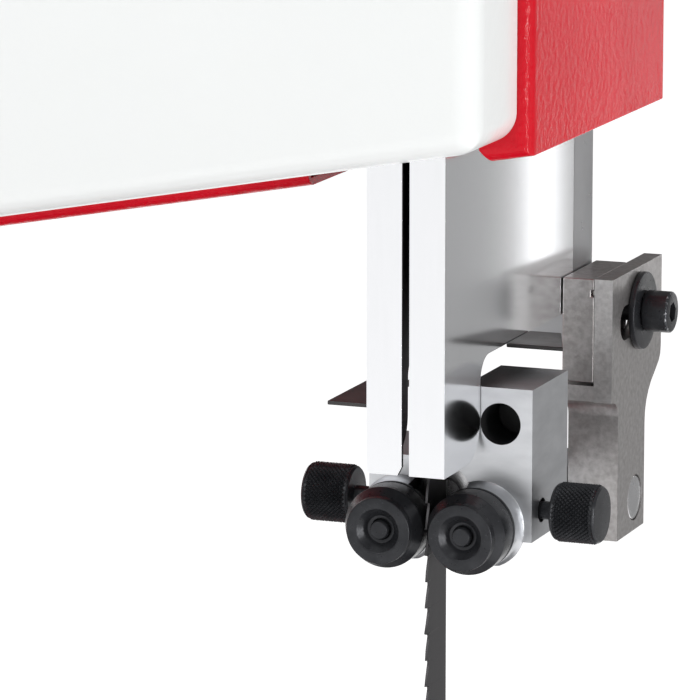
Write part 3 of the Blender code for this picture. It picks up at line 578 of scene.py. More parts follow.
def paint(obj, test, slot):
    """Faces whose centre (millimetres from the guide head's corner) and normal pass the test."""
    for face in obj.data.polygons:
        c = face.center * 1000 - Vector(HEAD) + Vector((0, 50, 0))
        if test(c, face.normal):
            face.material_index = slot
    return obj


def hexagon(radius, turn=0.0):
    angles = [math.radians(60 * i + turn) for i in range(6)]
    return [(radius * math.cos(a), radius * math.sin(a)) for a in angles]


def hex_bolt(centre, size, y0, y1):
    """Bolt head along Y with rounded edges."""
    return soften(flat("bolt", "Y", [hexagon(size / 1.732)], y0, y1, at=centre), size * 0.05, ("zinc",),
            2)


# ------------------------------------------------------------------ guard and post
def guard_and_post():
    channel = [(-1.3, 0), (-1.3, 1.6), (-12, 1.6), (-12, 122), (12, 122), (12, 1.6), (1.3, 1.6),
            (1.3, 0), (13.6, 0), (13.6, 130.6), (-13.6, 130.6), (-13.6, 0)]
    guard = flat("guard", "Z", [channel], 0, 400, at=HEAD)
    relief = ([(21.7, -2)] + arc(21.7, 13, 13, -90, 0, 12) + [(34.75, 16)] + arc(43.4, 25.4, 8.6, 180,
            90, 12)
            + [(135, 34), (135, -2)])
    lead = [(-1.0, -1), (-1.0, 2.8), (-1.32, 2.8), (-3.3, -1)]
    cut(guard, flat("relief", "X", [relief], -16, 16, at=HEAD),
            box(-15, -11, 10, 50, 165, 410, HEAD), flat("lead", "Y", [lead], -1, 3, at=HEAD))
    # the guard's bevelled edges take the bright edge metal: a painted highlight along them
    soften(guard, 0.45, ("satin", "edge", "dark"), 2, edge_slot=1)
    # faces inside the channel take the near-black slot: painted shade in the recess
    paint(guard, lambda c, n: abs(c.x) < 12.4 and 0.35 < c.y < 124 and c.z > 2.9, 2)
    stand(guard, "blade_guard")

    teeth = []
    for i in range(54):
        z = 178 + 5.0 * i
        teeth += [(13.5, z), (11.9, z + 1.0), (11.9, z + 2.0), (13.5, z + 3.0)]
    outline = [(-13.5, 20), (13.5, 20)] + teeth + [(13.5, 480), (-13.5, 480)]
    post = flat("post", "Y", [outline], 130.9, 152.4, at=HEAD)
    soften(post, 0.5, ("drawn",), 2)
    stand(post, "guide_post")


# ------------------------------------------------------------------ bracket on the post
def bracket():
    jaw = box(13.9, 25.45, 118.5, 155, 10.4, 47, HEAD)
    cut(jaw, box(24.2, 26, 117, 120.5, 40.8, 43.0, HEAD),
            rod("X", (0, 149, GUIDE_Z + 31.3), 4.3, BX + 10, BX + 30))
    soften(jaw, 0.5, ("cast", "edge"), 2)
    stand(jaw, "post_end_block")

    back = [(156.5, -47.3), (156.5, -10), (156.9, -6.5), (158.3, -2.8), (160.6, 0.4), (163.6, 3.2),
            (168.0, 6.0), (172.4, 9.0), (174.0, 11.2), (174.5, 14), (174.5, 47), (118.5, 47)]
    side = [(118.5, 3.5)] + arc(119.6, -3.0, 6.4, 90, 0, 8) + [(126, -47.3)] + back
    body = flat("bracket", "X", [side], 25.6, 32.2, at=HEAD)
    arm = ([(118.7, 3.7)] + arc(119.8, -2.9, 6.2, 90, 0, 8) + [(126.2, -47.1), (156.2, -47.1)]
            + [(155.9, 9.2), (118.7, 9.2)])
    join(body, flat("arm", "X", [arm], 13.9, 26.0, at=HEAD))
    slot = fillet([(127.6, 23.4), (156.5, 23.4), (156.5, 35.6), (127.6, 35.6)], 6.0, steps=8)
    cut(body, flat("slot", "X", [slot], 20, 40, at=HEAD),
            rod("X", (0, 146, GUIDE_Z - 35.6), 8.2, BX - 30, BX + 40))
    soften(body, 0.8, ("cast", "edge", "painted_light_cast"), 3, edge_slot=1)
    paint(body, lambda c, n: abs(n.x) < 0.5 and 127 < c.y < 157.5 and 22.8 < c.z < 36.2 and c.x > 20, 0)
    # the bracket's front-facing faces take the lighter cast steel: painted light on the front
    paint(body, lambda c, n: n.y < -0.9 and c.z > 4 and c.y < 119.5, 2)
    stand(body, "guide_bracket")

    at = (0, 149, GUIDE_Z + 31.3)
    washer = lathe("washer", "X", at, [(r, BX + h) for r, h in
            [(4.2, 32.5), (13.7, 32.5), (13.7, 34.6), (4.2, 34.6)]], ("oxide",), 96, 0.4)
    stand(washer, "bracket_washer")
    profile = [(0, 14.2), (3.9, 14.2), (3.9, 34.8), (7.3, 34.8), (7.3, 44.4), (0, 44.4)]
    screw = lathe("screw", "X", at, [(r, BX + h) for r, h in profile], ("oxide", "worn"), 64, 0.9)
    cut(screw, flat("hex", "X", [hexagon(3.7, 12)], BX + 39.5, BX + 50, at=at))
    finish_mesh(screw, ("oxide", "worn"), 35)
    paint(screw, lambda c, n: c.x > 43.5 and n.x < 0.97 and math.hypot(c.y - 149, c.z - 31.3) > 6.2, 1)
    stand(screw, "bracket_screw")
    pin = lathe("pin", "X", (0, 146, GUIDE_Z - 35.6),
            [(0, BX - 12), (7.5, BX - 12), (7.5, BX + 14), (7.9, BX + 14.6), (7.9, BX + 31.9),
            (5, BX + 32.5), (0, BX + 32.9)], ("steel", "edge"), 64, 0.8)
    stand(pin, "cross_pin")


# ------------------------------------------------------------------ roller carrier
def carrier():
    wing = [(14.2, 24.3), (14.2, 10)] + arc(3.0, 10.2, 11.2, 0, -90, 10)[1:] + [
            (-26, -1.0), (-26, -27.6), (31.9, -27.6), (31.9, 24.3)]
    block = flat("block", "Y", [wing[::-1]], 35, 71.5, at=HEAD)
    join(block, box(8, 15, 35.2, 71.5, 2, 24.3, HEAD))
    tail = [(68, -26.9), (84, -26.9), (128, -37), (134, -46), (156, -46), (156, -22), (68, -22)]
    join(block, flat("tail", "X", [tail], -10, 13.4, at=HEAD))
    for side in (-1, 1):
        flare = [(0, 29.2), (13.4, 29.2), (13.6, 31.6), (14.0, 33.4), (14.6, 34.8), (15.2, 35.6),
                (0, 36.5)]
        join(block, lathe("boss", "Y", (BX + side * 14.5, 0, GUIDE_Z - 22.5), flare, None, 96, 0))
    cut(block, box(32.0, 40, 25, 90, -60, 40, HEAD), box(-40, 40, 25, 60, -60, -36.5, HEAD),
            box(-40, -26.1, 25, 60, -60, 40, HEAD))
    cut(block, box(-2, 2, 20, 40, -60, 30, HEAD),
            rod("Y", (BX, 0, GUIDE_Z - 14), 11, 20, 56), rod("Y", (BX, 0, GUIDE_Z - 14), 4.9, 40, 90),
            rod("Y", (BX + 20.7, 0, GUIDE_Z + 12.1), 7.1, 30, 95),
            rod("X", (0, 146, GUIDE_Z - 35.6), 7.8, BX - 15, BX + 20))
    for side in (-1, 1):
        x0, x1 = sorted((BX + side * 19.6, BX + side * 40))
        cut(block, rod("Y", (BX + side * 14.5, 0, GUIDE_Z - 22.5), 4.6, 25, 90),
                rod("X", (0, 45.5, GUIDE_Z - 18.5), 4.2, x0, x1))
    soften(block, 0.55, ("milled", "edge", "dark"), 2, edge_slot=1)
    # bore walls take the near-black slot: painted shade inside the bore
    paint(block, lambda c, n: math.hypot(c.x - 20.7, c.z - 12.1) < 7.4 and abs(n.y) < 0.3 and c.y > 37, 2)
    stand(block, "guide_block")

    # the slide is near-black: painted shade seen down the bore
    slide = lathe("slide", "Y", (BX + 20.7, 0, GUIDE_Z + 12.1), [(0, 52), (6.8, 52), (6.8, 80), (0, 80)],
            ("dark",), 48, 0.5)
    arm = fillet([(29, 8), (26, 19), (16, 19), (-6, -8), (-6, -20), (6, -20)], [3, 4, 4, 4, 4, 4])
    arm = flat("arm", "Y", [arm], 72.2, 80, at=HEAD)
    soften(arm, 0.5, ("oxide",))
    spindle = rod("Y", (BX, 0, GUIDE_Z - 14), 4.3, 40.6, 79, mats="steel")
    stand(merge("thrust_carrier", slide, arm, spindle), "thrust_slide")
    ring = lathe("thrust", "Y", (BX, 0, GUIDE_Z - 14), [(4.7, 39.1), (10, 39.1), (10, 47.6), (4.7, 47.6)],
            ("steel",), 64, 0.5)
    stand(ring, "thrust_roller")


def knurled(name, centre, side, rings, r_out, h0, h1, mats):
    """Turned screw head along X with a diamond knurl between h0 and h1."""
    teeth, depth = 38, 0.8
    steps = teeth * 2
    rows = max(2, round((h1 - h0) / (math.pi * r_out / teeth)))
    line = []
    before, after = [], []
    for r, h in rings:
        (before if h <= h0 else after).append((r, h))
    for r, h in fillet([*before, (r_out - depth, h0)], 0.3, closed=False)[:-1]:
        line.append((r, h, False))
    for j in range(rows + 1):
        line.append((r_out, h0 + (h1 - h0) * j / rows, 0 < j < rows))
    for r, h in fillet([(r_out - depth, h1), *after], 0.3, closed=False)[1:]:
        line.append((r, h, False))
    bm = bmesh.new()
    verts = []
    for j, (r, h, band) in enumerate(line):
        if r < 1e-6:
            verts.append([bm.verts.new(mm(centre[0] + side * h, centre[1], centre[2]))])
            continue
        row = []
        for k in range(steps):
            a = math.pi * 2 * k / steps
            rr = r if (not band or (k + j) % 2 == 0) else r - depth
            if r == r_out and not band:
                rr = r - depth
            row.append(bm.verts.new(mm(centre[0] + side * h, centre[1] + rr * math.cos(a),
                    centre[2] + rr * math.sin(a))))
        verts.append(row)
    for j in range(len(verts) - 1):
        a, b = verts[j], verts[j + 1]
        mid = (line[j][0] + line[j + 1][0]) / 2
        for k in range(steps):
            n = (k + 1) % steps
            if len(a) == 1 or len(b) == 1:
                face = [a[0], b[k], b[n]] if len(a) == 1 else [a[k], b[0], a[n]]
                bm.faces.new(face)
            elif line[j][0] == r_out and line[j + 1][0] == r_out:
                split = ([(a[k], a[n], b[k]), (b[n], b[k], a[n])] if (k + j) % 2 == 0
                        else [(a[k], a[n], b[n]), (a[k], b[n], b[k])])
                for corners in split:
                    bm.faces.new(corners).material_index = 2
            else:
                face = bm.faces.new([a[k], b[k], b[n], a[n]])
                if mid > r_out - 0.95:
                    face.material_index = 1
    return from_bm(name, bm, mats, 28)


def rollers():
    profile = [(3.5, 15.9), (4.7, 15.9), (7.5, 12.6), (8.0, 12.5), (11.2, 12.5), (11.4, 15.2),
            (13.8, 18.6), (13.8, 26.6),
            (13.2, 26.9), (13.2, 27.2), (13.9, 27.4), (13.9, 28.7), (4.8, 28.7), (4.8, 16.9), (3.5, 16.9)]
    shaft = [(0, 13.4), (2.9, 13.4), (3.25, 14.2), (3.25, 17.1), (4.2, 17.3), (4.2, 60), (0, 60)]
    for tag, side in (("left", -1), ("right", 1)):
        x = BX + side * 14.5

        def slots(r, h):
            if h > 27.1:
                return 1
            return 2 if r > 10.9 and h < 15.4 else 0
        roller = lathe(tag + "_roller_part", "Y", (x, 0, GUIDE_Z - 22.5), profile,
                ("oxide", "steel", "worn"), 128, 0.35, slots)
        stand(roller, tag + "_roller")
        stand(lathe(tag + "_shaft_part", "Y", (x, 0, GUIDE_Z - 22.5), shaft, ("oxide",), 64, 0.4),
                tag + "_roller_shaft")
        near, far = (34.4, 51.4) if side < 0 else (37.2, 53.2)
        rings = [(0, 20.2), (3.1, 20.2), (3.1, near), (9.0, near), (9.7, near + 0.8)]
        ends = [(9.7, far - 0.8), (9.0, far), (0, far)]
        screw = knurled(tag + "_thumb", (BX, 45.5, GUIDE_Z - 18.5), side, rings + ends, 10.2,
                near + 1.1, far - 1.1, ("oxide", "worn", "knurl"))
        stand(screw, tag + "_thumb_screw")


def chip_plates():
    left = flat("plate", "Z", [[(-13.9, 4), (-13.9, 46), (-29, 46), (-29, 4)]], 21, 22.4, at=HEAD)
    stand(soften(left, 0.3, ("plate",)), "chip_plate_left")
    right = flat("plate", "Z", [[(13.8, 60), (34, 60), (25.2, 84), (13.8, 84)]], 33, 34.4, at=HEAD)
    stand(soften(right, 0.3, ("plate",)), "chip_plate_right")


# ------------------------------------------------------------------ toothed blade
def blade_loop():
    straight, turn = UPPER_Z - LOWER_Z, math.pi * BX
    total = 2 * straight + 2 * turn
    count = round(total / 9.0)
    pitch = total / count
    # along one tooth, running down the cutting side: (share of the pitch, depth of the edge)
    shape = [(0.0, 0.0), (0.02, 1.9), (0.06, 2.5), (0.16, 2.6), (0.30, 2.1), (0.62, 1.0), (0.985, 0.0)]

    def spot(s):
        s %= total
        if s < straight:
            return BX, UPPER_Z - s, 1.0, 0.0
        s -= straight
        if s < turn:
            a = s / turn * math.pi
            return BX * math.cos(a), LOWER_Z - BX * math.sin(a), math.cos(a), -math.sin(a)
        s -= turn
        if s < straight:
            return -BX, LOWER_Z + s, -1.0, 0.0
        a = (s - straight) / turn * math.pi
        return -BX * math.cos(a), UPPER_Z + BX * math.sin(a), -math.cos(a), math.sin(a)

    bm = bmesh.new()
    rows = []
    for i in range(count):
        for share, depth in shape:
            x, z, nx, nz = spot((i + share) * pitch)
            lean = 0.16 * (1, 0, -1)[i % 3] if depth < 0.5 else 0.0
            rows.append([bm.verts.new(mm(x + nx * (t + w), y, z + nz * (t + w))) for t, w, y in
                    ((-0.4, lean, 19.8 + depth), (0.4, lean, 19.8 + depth), (0.4, 0, 23.6),
                    (0.4, 0, 38.6), (-0.4, 0, 38.6), (-0.4, 0, 23.6))])
    for i, a in enumerate(rows):
        b = rows[(i + 1) % len(rows)]
        for k in range(6):
            n = (k + 1) % 6
            face = bm.faces.new([a[k], b[k], b[n], a[n]])
            face.material_index = 1 if k == 0 else 0
    stand(from_bm("toothed_blade", bm, ("blade", "steel"), 30), "blade")


guard_and_post()
bracket()
carrier()
rollers()
chip_plates()
blade_loop()


# ------------------------------------------------------------------ sheet metal frame
def tray(outline, cuts):
    """Housing tray: folded sheet with a wide bend along its front rim."""
    body = flat("tray", "Y", [outline], 20.0, 162.5)
    front = min(v.co.y for v in body.data.vertices)
    bm = bmesh.new()
    bm.from_mesh(body.data)
    rim = [e for e in bm.edges if all(v.co.y < front + 1e-5 for v in e.verts) and len(e.link_faces) == 2]
    bmesh.ops.bevel(bm, geom=rim, offset=0.0056, segments=8, profile=0.5, affect="EDGES",
            clamp_overlap=False)
    bm.to_mesh(body.data)
    bm.free()
    cut(body, *cuts)
    return body


def inset(points, d):
    """Counter-clockwise convex outline moved inwards."""
    lines = []
    for (x0, y0), (x1, y1) in zip(points, points[1:] + points[:1]):
        length = math.hypot(x1 - x0, y1 - y0)
        nx, ny = -(y1 - y0) / length, (x1 - x0) / length
        lines.append((nx, ny, nx * x0 + ny * y0 + d))
    result = []
    for i in range(len(lines)):
        a, b = lines[i - 1], lines[i]
        det = a[0] * b[1] - b[0] * a[1]
        result.append(((a[2] * b[1] - b[2] * a[1]) / det, (a[0] * b[2] - b[0] * a[2]) / det))
    return result


def upper_housing():
    outline = [(SIDE_L, housing_line(SIDE_L)), (SIDE_R, CORNER_Z), (SIDE_R, HOUSING_TOP),
            (SIDE_L, HOUSING_TOP)]
    throat = [(BX - 42, 1240), (BX + 21.4, 1240), (BX + 21.4, 1316.2), (BX + 17.8, 1321),
            (BX + 17.8, 1330), (BX + 12, 1345), (BX - 42, 1345)]
    cuts = (flat("hollow", "Y", [fillet(inset(outline, 3), [0.5, 0.5, 25, 25], steps=10)], 23, 159.5),
            flat("mouth", "Y", [inset(outline, 14)], 15, 30), flat("throat", "Y", [throat], 15, 157.5),
            box(-BX - 15, -BX + 15, 15, 56, 1200, 1260), rod("Y", (BX + 22.5, 0, 1445), 6.8, 150, 170),
            box(-8, 8, 150, 170, 1462, 1498), rod("X", (0, 142, 1385), 4.8, 250, 270),
            rod("Z", (0, 124, 0), 8.8, 1775, 1800))
    body = tray(fillet(outline, [0, 0, 28, 28], steps=12), cuts)
    for side in (-1, 1):
        rail = [(58.6, 160.5), (74, 160.5), (74, 133), (44, 133), (44, 139.4), (58.6, 139.4)]
        join(body, flat("rail", "Z", [[(side * x, y) for x, y in rail]], 1430, 1640))
    sleeve = [(-30, 160.5), (30, 160.5), (30, 134), (13.9, 134), (13.9, 152.8), (-13.9, 152.8),
            (-13.9, 134), (-30, 134)]
    join(body, flat("sleeve", "Z", [sleeve[::-1]], 1345, 1405, at=(BX, 0, 0)))
    cut(body, rod("X", (0, 142, 1385), 4.6, BX + 10, BX + 34))
    stand(soften(body, 0.9, ("red",), 3, 40), "upper_housing")
    bolts = []
    for x in (-66, 66):
        for z in (1450, 1535, 1620):
            bolts.append(hex_bolt((x, 0, z), 13, 162.5, 167.5))
    for x in (BX - 22, BX + 22):
        for z in (1357, 1393):
            bolts.append(hex_bolt((x, 0, z), 10, 162.5, 166.5))
    plate = merge("upper_bolts", *bolts)
    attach(plate, "frame")


def lower_housing():
    outline = [(SIDE_L, 95.3), (SIDE_R, 95.3), (SIDE_R, LOWER_TOP), (SIDE_L, LOWER_TOP)]
    cuts = (flat("hollow", "Y", [inset(outline, 3)], 23, 159.5),
            flat("mouth", "Y", [inset(outline, 14)], 15, 30),
            box(BX - 15, BX + 15, 15, 56, LOWER_TOP - 40, LOWER_TOP + 5),
            box(-BX - 15, -BX + 15, 15, 56, LOWER_TOP - 40, LOWER_TOP + 5),
            rod("Y", (MOTOR_X, 0, MOTOR_Z), 17, 150, 170), rod("X", (0, 92, 250), 46, 250, 270))
    body = tray(outline, cuts)
    join(body, lathe("bearing", "Y", (0, 0, LOWER_Z), [(15.5, 100), (32, 100), (32, 150), (45, 150),
            (45, 160.5), (15.5, 160.5)], None, 64, 0))
    stand(soften(body, 0.9, ("red",), 3, 40), "lower_housing")
    corners = [polar(34, a, 0, LOWER_Z) for a in (45, 135, 225, 315)]
    bolts = [hex_bolt((x, 0, z), 10, 162.5, 166.5) for x, z in corners]
    cap = lathe("cap", "Y", (0, 0, LOWER_Z), [(0, 162.6), (26, 162.6), (26, 166), (18, 169), (0, 169)],
            ("black",), 48, 1.0)
    plate = merge("lower_bolts", cap, *bolts)
    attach(plate, "frame")


def column_and_base():
    refined("column", 1.2, ("red",), 3)
    refined("column_cover", 0.6, ("red",), 2)
    refined("base_plinth", 1.6, ("grey",), 3)
    spots = [(x, y, 0) for x in (-250, 250) for y in (-110, 210)]
    feet = merge("anchor_washers", *[rod("Z", spot, 9, 6.05, 9.0, 32) for spot in spots])
    cut(feet, *[rod("Z", spot, 6.5, 0, 20, 24) for spot in spots])
    finish_mesh(feet, "zinc")
    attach(feet, "frame")


def door(node, outline, radii, knuckles, latch_z, cuts):
    shape = fillet(outline, radii, steps=8)
    solid = flat(node + "_form", "Y", [shape], -20.0, 19.7)
    bm = bmesh.new()
    bm.from_mesh(solid.data)
    bpy.data.objects.remove(solid, do_unlink=True)
    back = max(v.co.y for v in bm.verts)
    front = min(v.co.y for v in bm.verts)
    bmesh.ops.delete(bm, geom=[f for f in bm.faces if min(v.co.y for v in f.verts) > back - 1e-5],
            context="FACES_ONLY")
    rim = [e for e in bm.edges if max(v.co.y for v in e.verts) < front + 1e-5 and len(e.link_faces) == 2]
    for e in bm.edges:
        if len(e.link_faces) == 2 and abs(e.verts[0].co.y - e.verts[1].co.y) > 0.03:
            if e.link_faces[0].normal.angle(e.link_faces[1].normal) > 0.8:
                rim.append(e)
    bmesh.ops.bevel(bm, geom=rim, offset=0.0085, segments=10, profile=0.5, affect="EDGES")
    panel = from_bm(node + "_panel", bm)
    mod = panel.modifiers.new("sheet", "SOLIDIFY")
    mod.thickness, mod.offset = 0.0015, -1.0
    bake(panel)
    cut(panel, rod("Y", (240.0, 0, latch_z), 5.6, -30, -10, 32), *cuts)
    finish_mesh(panel, ("white",), 50)
    parts = [panel]
    for z in knuckles:
        barrel = lathe("barrel", "Z", (-283.0, 12.0, 0), [(4.3, z - 30), (7, z - 30), (7, z + 30),
                (4.3, z + 30)], ("white",), 48, 0.5)
        web = box(-277.8, outline[0][0] + 0.2, 8.5, 15.5, z - 29.5, z + 29.5)
        parts += [barrel, soften(web, 0.4, ("white",))]
    return stand(merge(node + "_piece", *parts), node)


def doors():
    rise = 7.0 * math.sqrt(1 + SLOPE ** 2)
    x0, x1, top = SIDE_L + 4.6, SIDE_R - 4.6, HOUSING_TOP - 4.6
    shape = [(x0, housing_line(x0) + rise), (x1, housing_line(x1) + rise), (x1, top), (x0, top)]
    notch = box(BX - 44, BX + 17, -3, 25, 1250, 1340)
    door("upper_door", shape, [0, 0, 24, 24], (1360, 1670), 1705, [notch])
    shape = [(x0, 102), (x1, 102), (x1, 828), (x0, 828)]
    cuts = [box(s * BX - 14, s * BX + 14, -3, 25, 815, 840) for s in (-1, 1)]
    door("lower_door", shape, [0] * 4, (230, 700), 760, cuts)
    for tag, z in (("upper", 1705), ("lower", 760)):
        profile = [(0, -44), (13, -44), (18, -41), (18, -30), (15, -26.5), (7, -23), (6.6, -20.2),
                (5, -20.2), (5, 30), (0, 30)]
        knob = lathe("latch", "Y", (240.0, 0, z), profile, ("gloss",), 64, 0.8)
        cut(knob, *rods_around(240, z, 20.5, range(0, 360, 45), 4.2, -50, -25, 24))
        soften(knob, 0.35, ("gloss",), 2, 40)
        tongue = soften(box(236, 244, 25, 29, z - 16, z + 4), 0.6, ("zinc",))
        stand(merge(tag + "_latch_piece", knob, tongue), tag + "_door_latch")
        node = tag + "_hinge"
        refined(node, 0.5, ("black",))
        heights = (1360, 1670) if tag == "upper" else (230, 700)
        screws = []
        for zz in (heights[0] + 80, sum(heights) / 2, heights[1] - 80):
            screws.append(lathe("s", "X", (0, 36, zz), [(0, -279.4), (3.5, -279.4), (5, -278.8),
                    (0, -278.8)][::-1], ("zinc",), 24, 0))
        screws = merge(tag + "_hinge_screws", *screws)
        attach(screws, "frame")


# ------------------------------------------------------------------ wheels, drive, wheel mount
def wheels():
    rim = [(34, 14), (34, 26), (205, 26), (207, 16.5), (219.3, 16.5), (219.3, 41.5), (207, 41.5),
            (205, 34)]
    upper = lathe("upper_w", "Y", (0, 0, UPPER_Z), [(12.8, 14)] + rim + [(34, 34), (34, 50), (12.8, 50)],
            ("iron", "steel"), 128, 1.2, lambda r, h: 1 if r > 215 or (r < 34 and h < 16) else 0)
    lower = lathe("lower_w", "Y", (0, 0, LOWER_Z), [(0, 8), (15, 8), (15, 14)] + rim
            + [(40, 34), (40, 60), (95, 60), (95, 62), (86, 65.4), (86, 74.6), (95, 78), (95, 80),
            (15, 80), (15, 158), (0, 158)], ("iron", "steel"), 128, 0.8,
            lambda r, h: 1 if r > 215 or r < 16 else 0)
    for obj, z, tag in ((upper, UPPER_Z, "upper"), (lower, LOWER_Z, "lower")):
        windows = rods_around(0, z, 125, range(90, 450, 72), 54, 20, 45, 64)
        cut(obj, *windows, *rods_around(0, z, 183, range(126, 486, 72), 14, 20, 45, 32))
        finish_mesh(obj, ("iron", "steel"), 35)
        for face in obj.data.polygons:
            c = face.center * 1000 + Vector((0, 50, -z))
            r = math.hypot(c.x, c.z)
            face.material_index = 1 if (r > 217 and abs(face.normal.y) < 0.5) or r < 15.5 else 0
        stand(obj, tag + "_wheel")
        tyre = lathe(tag + "_t", "Y", (0, 0, z), [(219.6, 17), (223.0, 17), (223.6, 22), (223.6, 36),
                (223.0, 41), (219.6, 41)], ("rubber",), 160, 0.5)
        stand(tyre, tag + "_tyre")
    pulley = lathe("pulley", "Y", (MOTOR_X, 0, MOTOR_Z), [(0, 60), (45, 60), (45, 62), (36, 65.4),
            (36, 74.6), (45, 78), (45, 80), (14, 80), (14, 186), (0, 186)], ("steel",), 96, 0.5)
    cut(pulley, flat("key", "Y", [hexagon(5)], 55, 66, at=(MOTOR_X, 0, MOTOR_Z)))
    stand(finish_mesh(pulley, ("steel",)), "motor_pulley")

    def loop(r0, r1, steps):
        dx, dz = -MOTOR_X, LOWER_Z - MOTOR_Z
        away = math.degrees(math.atan2(dz, dx))
        lean = 180 - math.degrees(math.acos((r0 - r1) / math.hypot(dx, dz)))
        return (arc(0, LOWER_Z, r0, away - lean, away + lean, steps)
                + arc(MOTOR_X, MOTOR_Z, r1, away + lean, away + 360 - lean, steps))
    belt = flat("belt", "Y", [loop(94.5, 44.5, 64), loop(86.9, 36.9, 64)[::-1]], 65, 75)
    stand(soften(belt, 1.0, ("rubber",), 2, 60), "drive_belt")

    refined("tilt_bracket", 0.8, ("iron",))
    refined("wheel_carriage", 1.2, ("iron",))
    coil = bpy.data.curves.new("coil", "CURVE")
    coil.dimensions, coil.bevel_depth, coil.bevel_resolution, coil.use_fill_caps = "3D", 0.0016, 4, True
    line = coil.splines.new("POLY")
    count = 6 * 28
    line.points.add(count)
    for i, point in enumerate(line.points):
        a = 2 * math.pi * i / 28
        spot = mm(12 * math.cos(a), 124 + 12 * math.sin(a), 1580.4 + 23.2 * i / count)
        point.co = (*spot, 1.0)
    mesh = curve_mesh("coil", coil, Matrix.Identity(4))
    stand(place("spring", mesh, ("steel",), 60), "tension_spring")


def ring_wheel(name, axis, centre, rim_r, wire, hub_r, h_hub0, h_hub1, h_rim, spokes, extra):
    """Handwheel: round rim, flat spokes and a hub; extra are its shaft and grip."""
    profile = [(rim_r + wire * math.cos(2 * math.pi * k / 20),
            h_rim + wire * math.sin(2 * math.pi * k / 20))
            for k in range(20)]
    parts = [lathe("rim", axis, centre, profile, ("black",), 96, 0, smooth=80),
            lathe("hub", axis, centre, [(0, h_hub0), (hub_r, h_hub0), (hub_r * 0.9, h_hub1), (0, h_hub1)],
            ("black",), 64, 1.5)]
    for i in range(spokes):
        bm = bmesh.new()
        stations = [(hub_r - 3, (h_hub0 + h_hub1) / 2, 1.25),
                ((hub_r + rim_r) / 2, (h_hub0 + h_hub1 + h_rim * 2) / 4, 0.9), (rim_r - 1, h_rim, 1.0)]
        rows = []
        for r, h, k in stations:
            row = []
            for j in range(16):
                a = 2 * math.pi * j / 16
                u, v = 8.0 * k * math.cos(a), 3.4 * k * math.sin(a)
                row.append(bm.verts.new((r * 0.001, u * 0.001, (h + v) * 0.001)))
            rows.append(row)
        for a_row, b_row in zip(rows, rows[1:]):
            for j in range(16):
                n = (j + 1) % 16
                bm.faces.new([a_row[j], a_row[n], b_row[n], b_row[j]])
        bm.faces.new(rows[0])
        bm.faces.new(rows[-1][::-1])
        spin = Matrix.Rotation(2 * math.pi * i / spokes + 0.4, 4, "Z")
        bmesh.ops.transform(bm, verts=bm.verts, matrix=on_axis(axis, centre) @ spin)
        parts.append(from_bm("spoke", bm, ("black",), 60))
    return merge(name, *parts, *extra)


def lobed(axis, centre, radius, lobes, h0, h1):
    outline = []
    for k in range(lobes * 12):
        degrees = 30 * k / lobes
        outline.append(polar(radius * (0.90 + 0.10 * math.cos(math.radians(lobes * degrees))), degrees))
    return soften(flat("lobes", axis, [outline], h0, h1, at=centre), 2.0, ("black",), 4, 60)


def controls():
    screw = lathe("screw", "Z", (0, 124, 0), [(0, 1562), (7, 1562), (8, 1563), (8, 1785.4), (17, 1785.4),
            (17, 1790), (9, 1790), (9, 1800), (0, 1800)], ("steel",), 48, 0.4)
    stand(ring_wheel("tension_wheel_piece", "Z", (0, 124, 0), 50.5, 6.4, 17, 1791, 1817.6, 1806, 5,
            [screw]), "tension_handwheel")
    at = (BX + 22.5, 0, 1445.0)
    shaft = lathe("shaft", "Y", at, [(0, 135), (8.5, 135), (8.5, 151), (6.2, 151), (6.2, 168), (0, 168)],
            ("steel",), 48, 0.4)
    a = 0.4 + 2 * math.pi / 10
    grip_at = (at[0] + 50 * math.cos(a), 0, at[2] - 50 * math.sin(a))
    grip = lathe("grip", "Y", grip_at, [(0, 184), (4, 184), (4, 190), (8, 191), (10, 204), (8.5, 222),
            (9.5, 232), (6, 238), (0, 238)], ("black",), 48, 1.2)
    stand(ring_wheel("post_wheel_piece", "Y", at, 49.5, 6.4, 16, 166, 190, 179, 5, [shaft, grip]),
            "post_handwheel")
    stem = rod("Y", (0, 0, 1485), 5, 64, 178, mats="steel")
    neck = lathe("neck", "Y", (0, 0, 1485), [(0, 170), (11, 170), (13, 180), (0, 180)], ("black",), 48,
            0.8)
    stand(merge("tracking_piece", stem, neck, lobed("Y", (0, 0, 1485), 26, 6, 179, 194)), "tracking_knob")
    stud = rod("X", (0, 142, 1385), 4, BX + 14.1, 270, mats="steel")
    neck = lathe("neck", "X", (0, 142, 1385), [(0, 264), (9, 264), (12, 271), (0, 271)], ("black",), 48,
            0.6)
    stand(merge("lock_piece", stud, neck, lobed("X", (0, 142, 1385), 21, 6, 270, 288)), "post_lock_knob")

    case = box(-262, -188, -48, -5.4, 1060, 1190)
    soften(case, 5, ("black",), 4)
    plate = soften(box(-256, -194, -48.6, -46, 1066, 1184), 0.8, ("grey",))
    parts = [case, plate]
    for z in (1152, 1098):
        parts.append(lathe("ring", "Y", (-225, 0, z), [(13.5, -48.7), (13.5, -50.2), (17, -50.2),
                (18, -48.7)], ("zinc",), 64, 0.3))
    stand(merge("switch_piece", *parts), "switch_box")
    for name, z, look, front in (("start_button", 1152, "green", -51),
            ("stop_button", 1098, "stop", -53)):
        profile = [(0, front + 0.8), (8, front + 0.6), (10.5, front), (12.2, front + 0.6),
                (13, front + 2), (13, -44), (0, -44)]
        stand(lathe(name + "_piece", "Y", (-225, 0, z), profile, (look,), 64, 0.3), name)
    port = lathe("port", "X", (0, 92, 250), [(44, 261.4), (60, 261.4), (60, 264), (50, 265.5), (50, 285),
            (51, 287), (50, 292),
            (50, 300), (51, 302), (50, 307), (49.4, 318), (44, 318)], ("black",), 96, 0.5)
    stand(port, "dust_port")


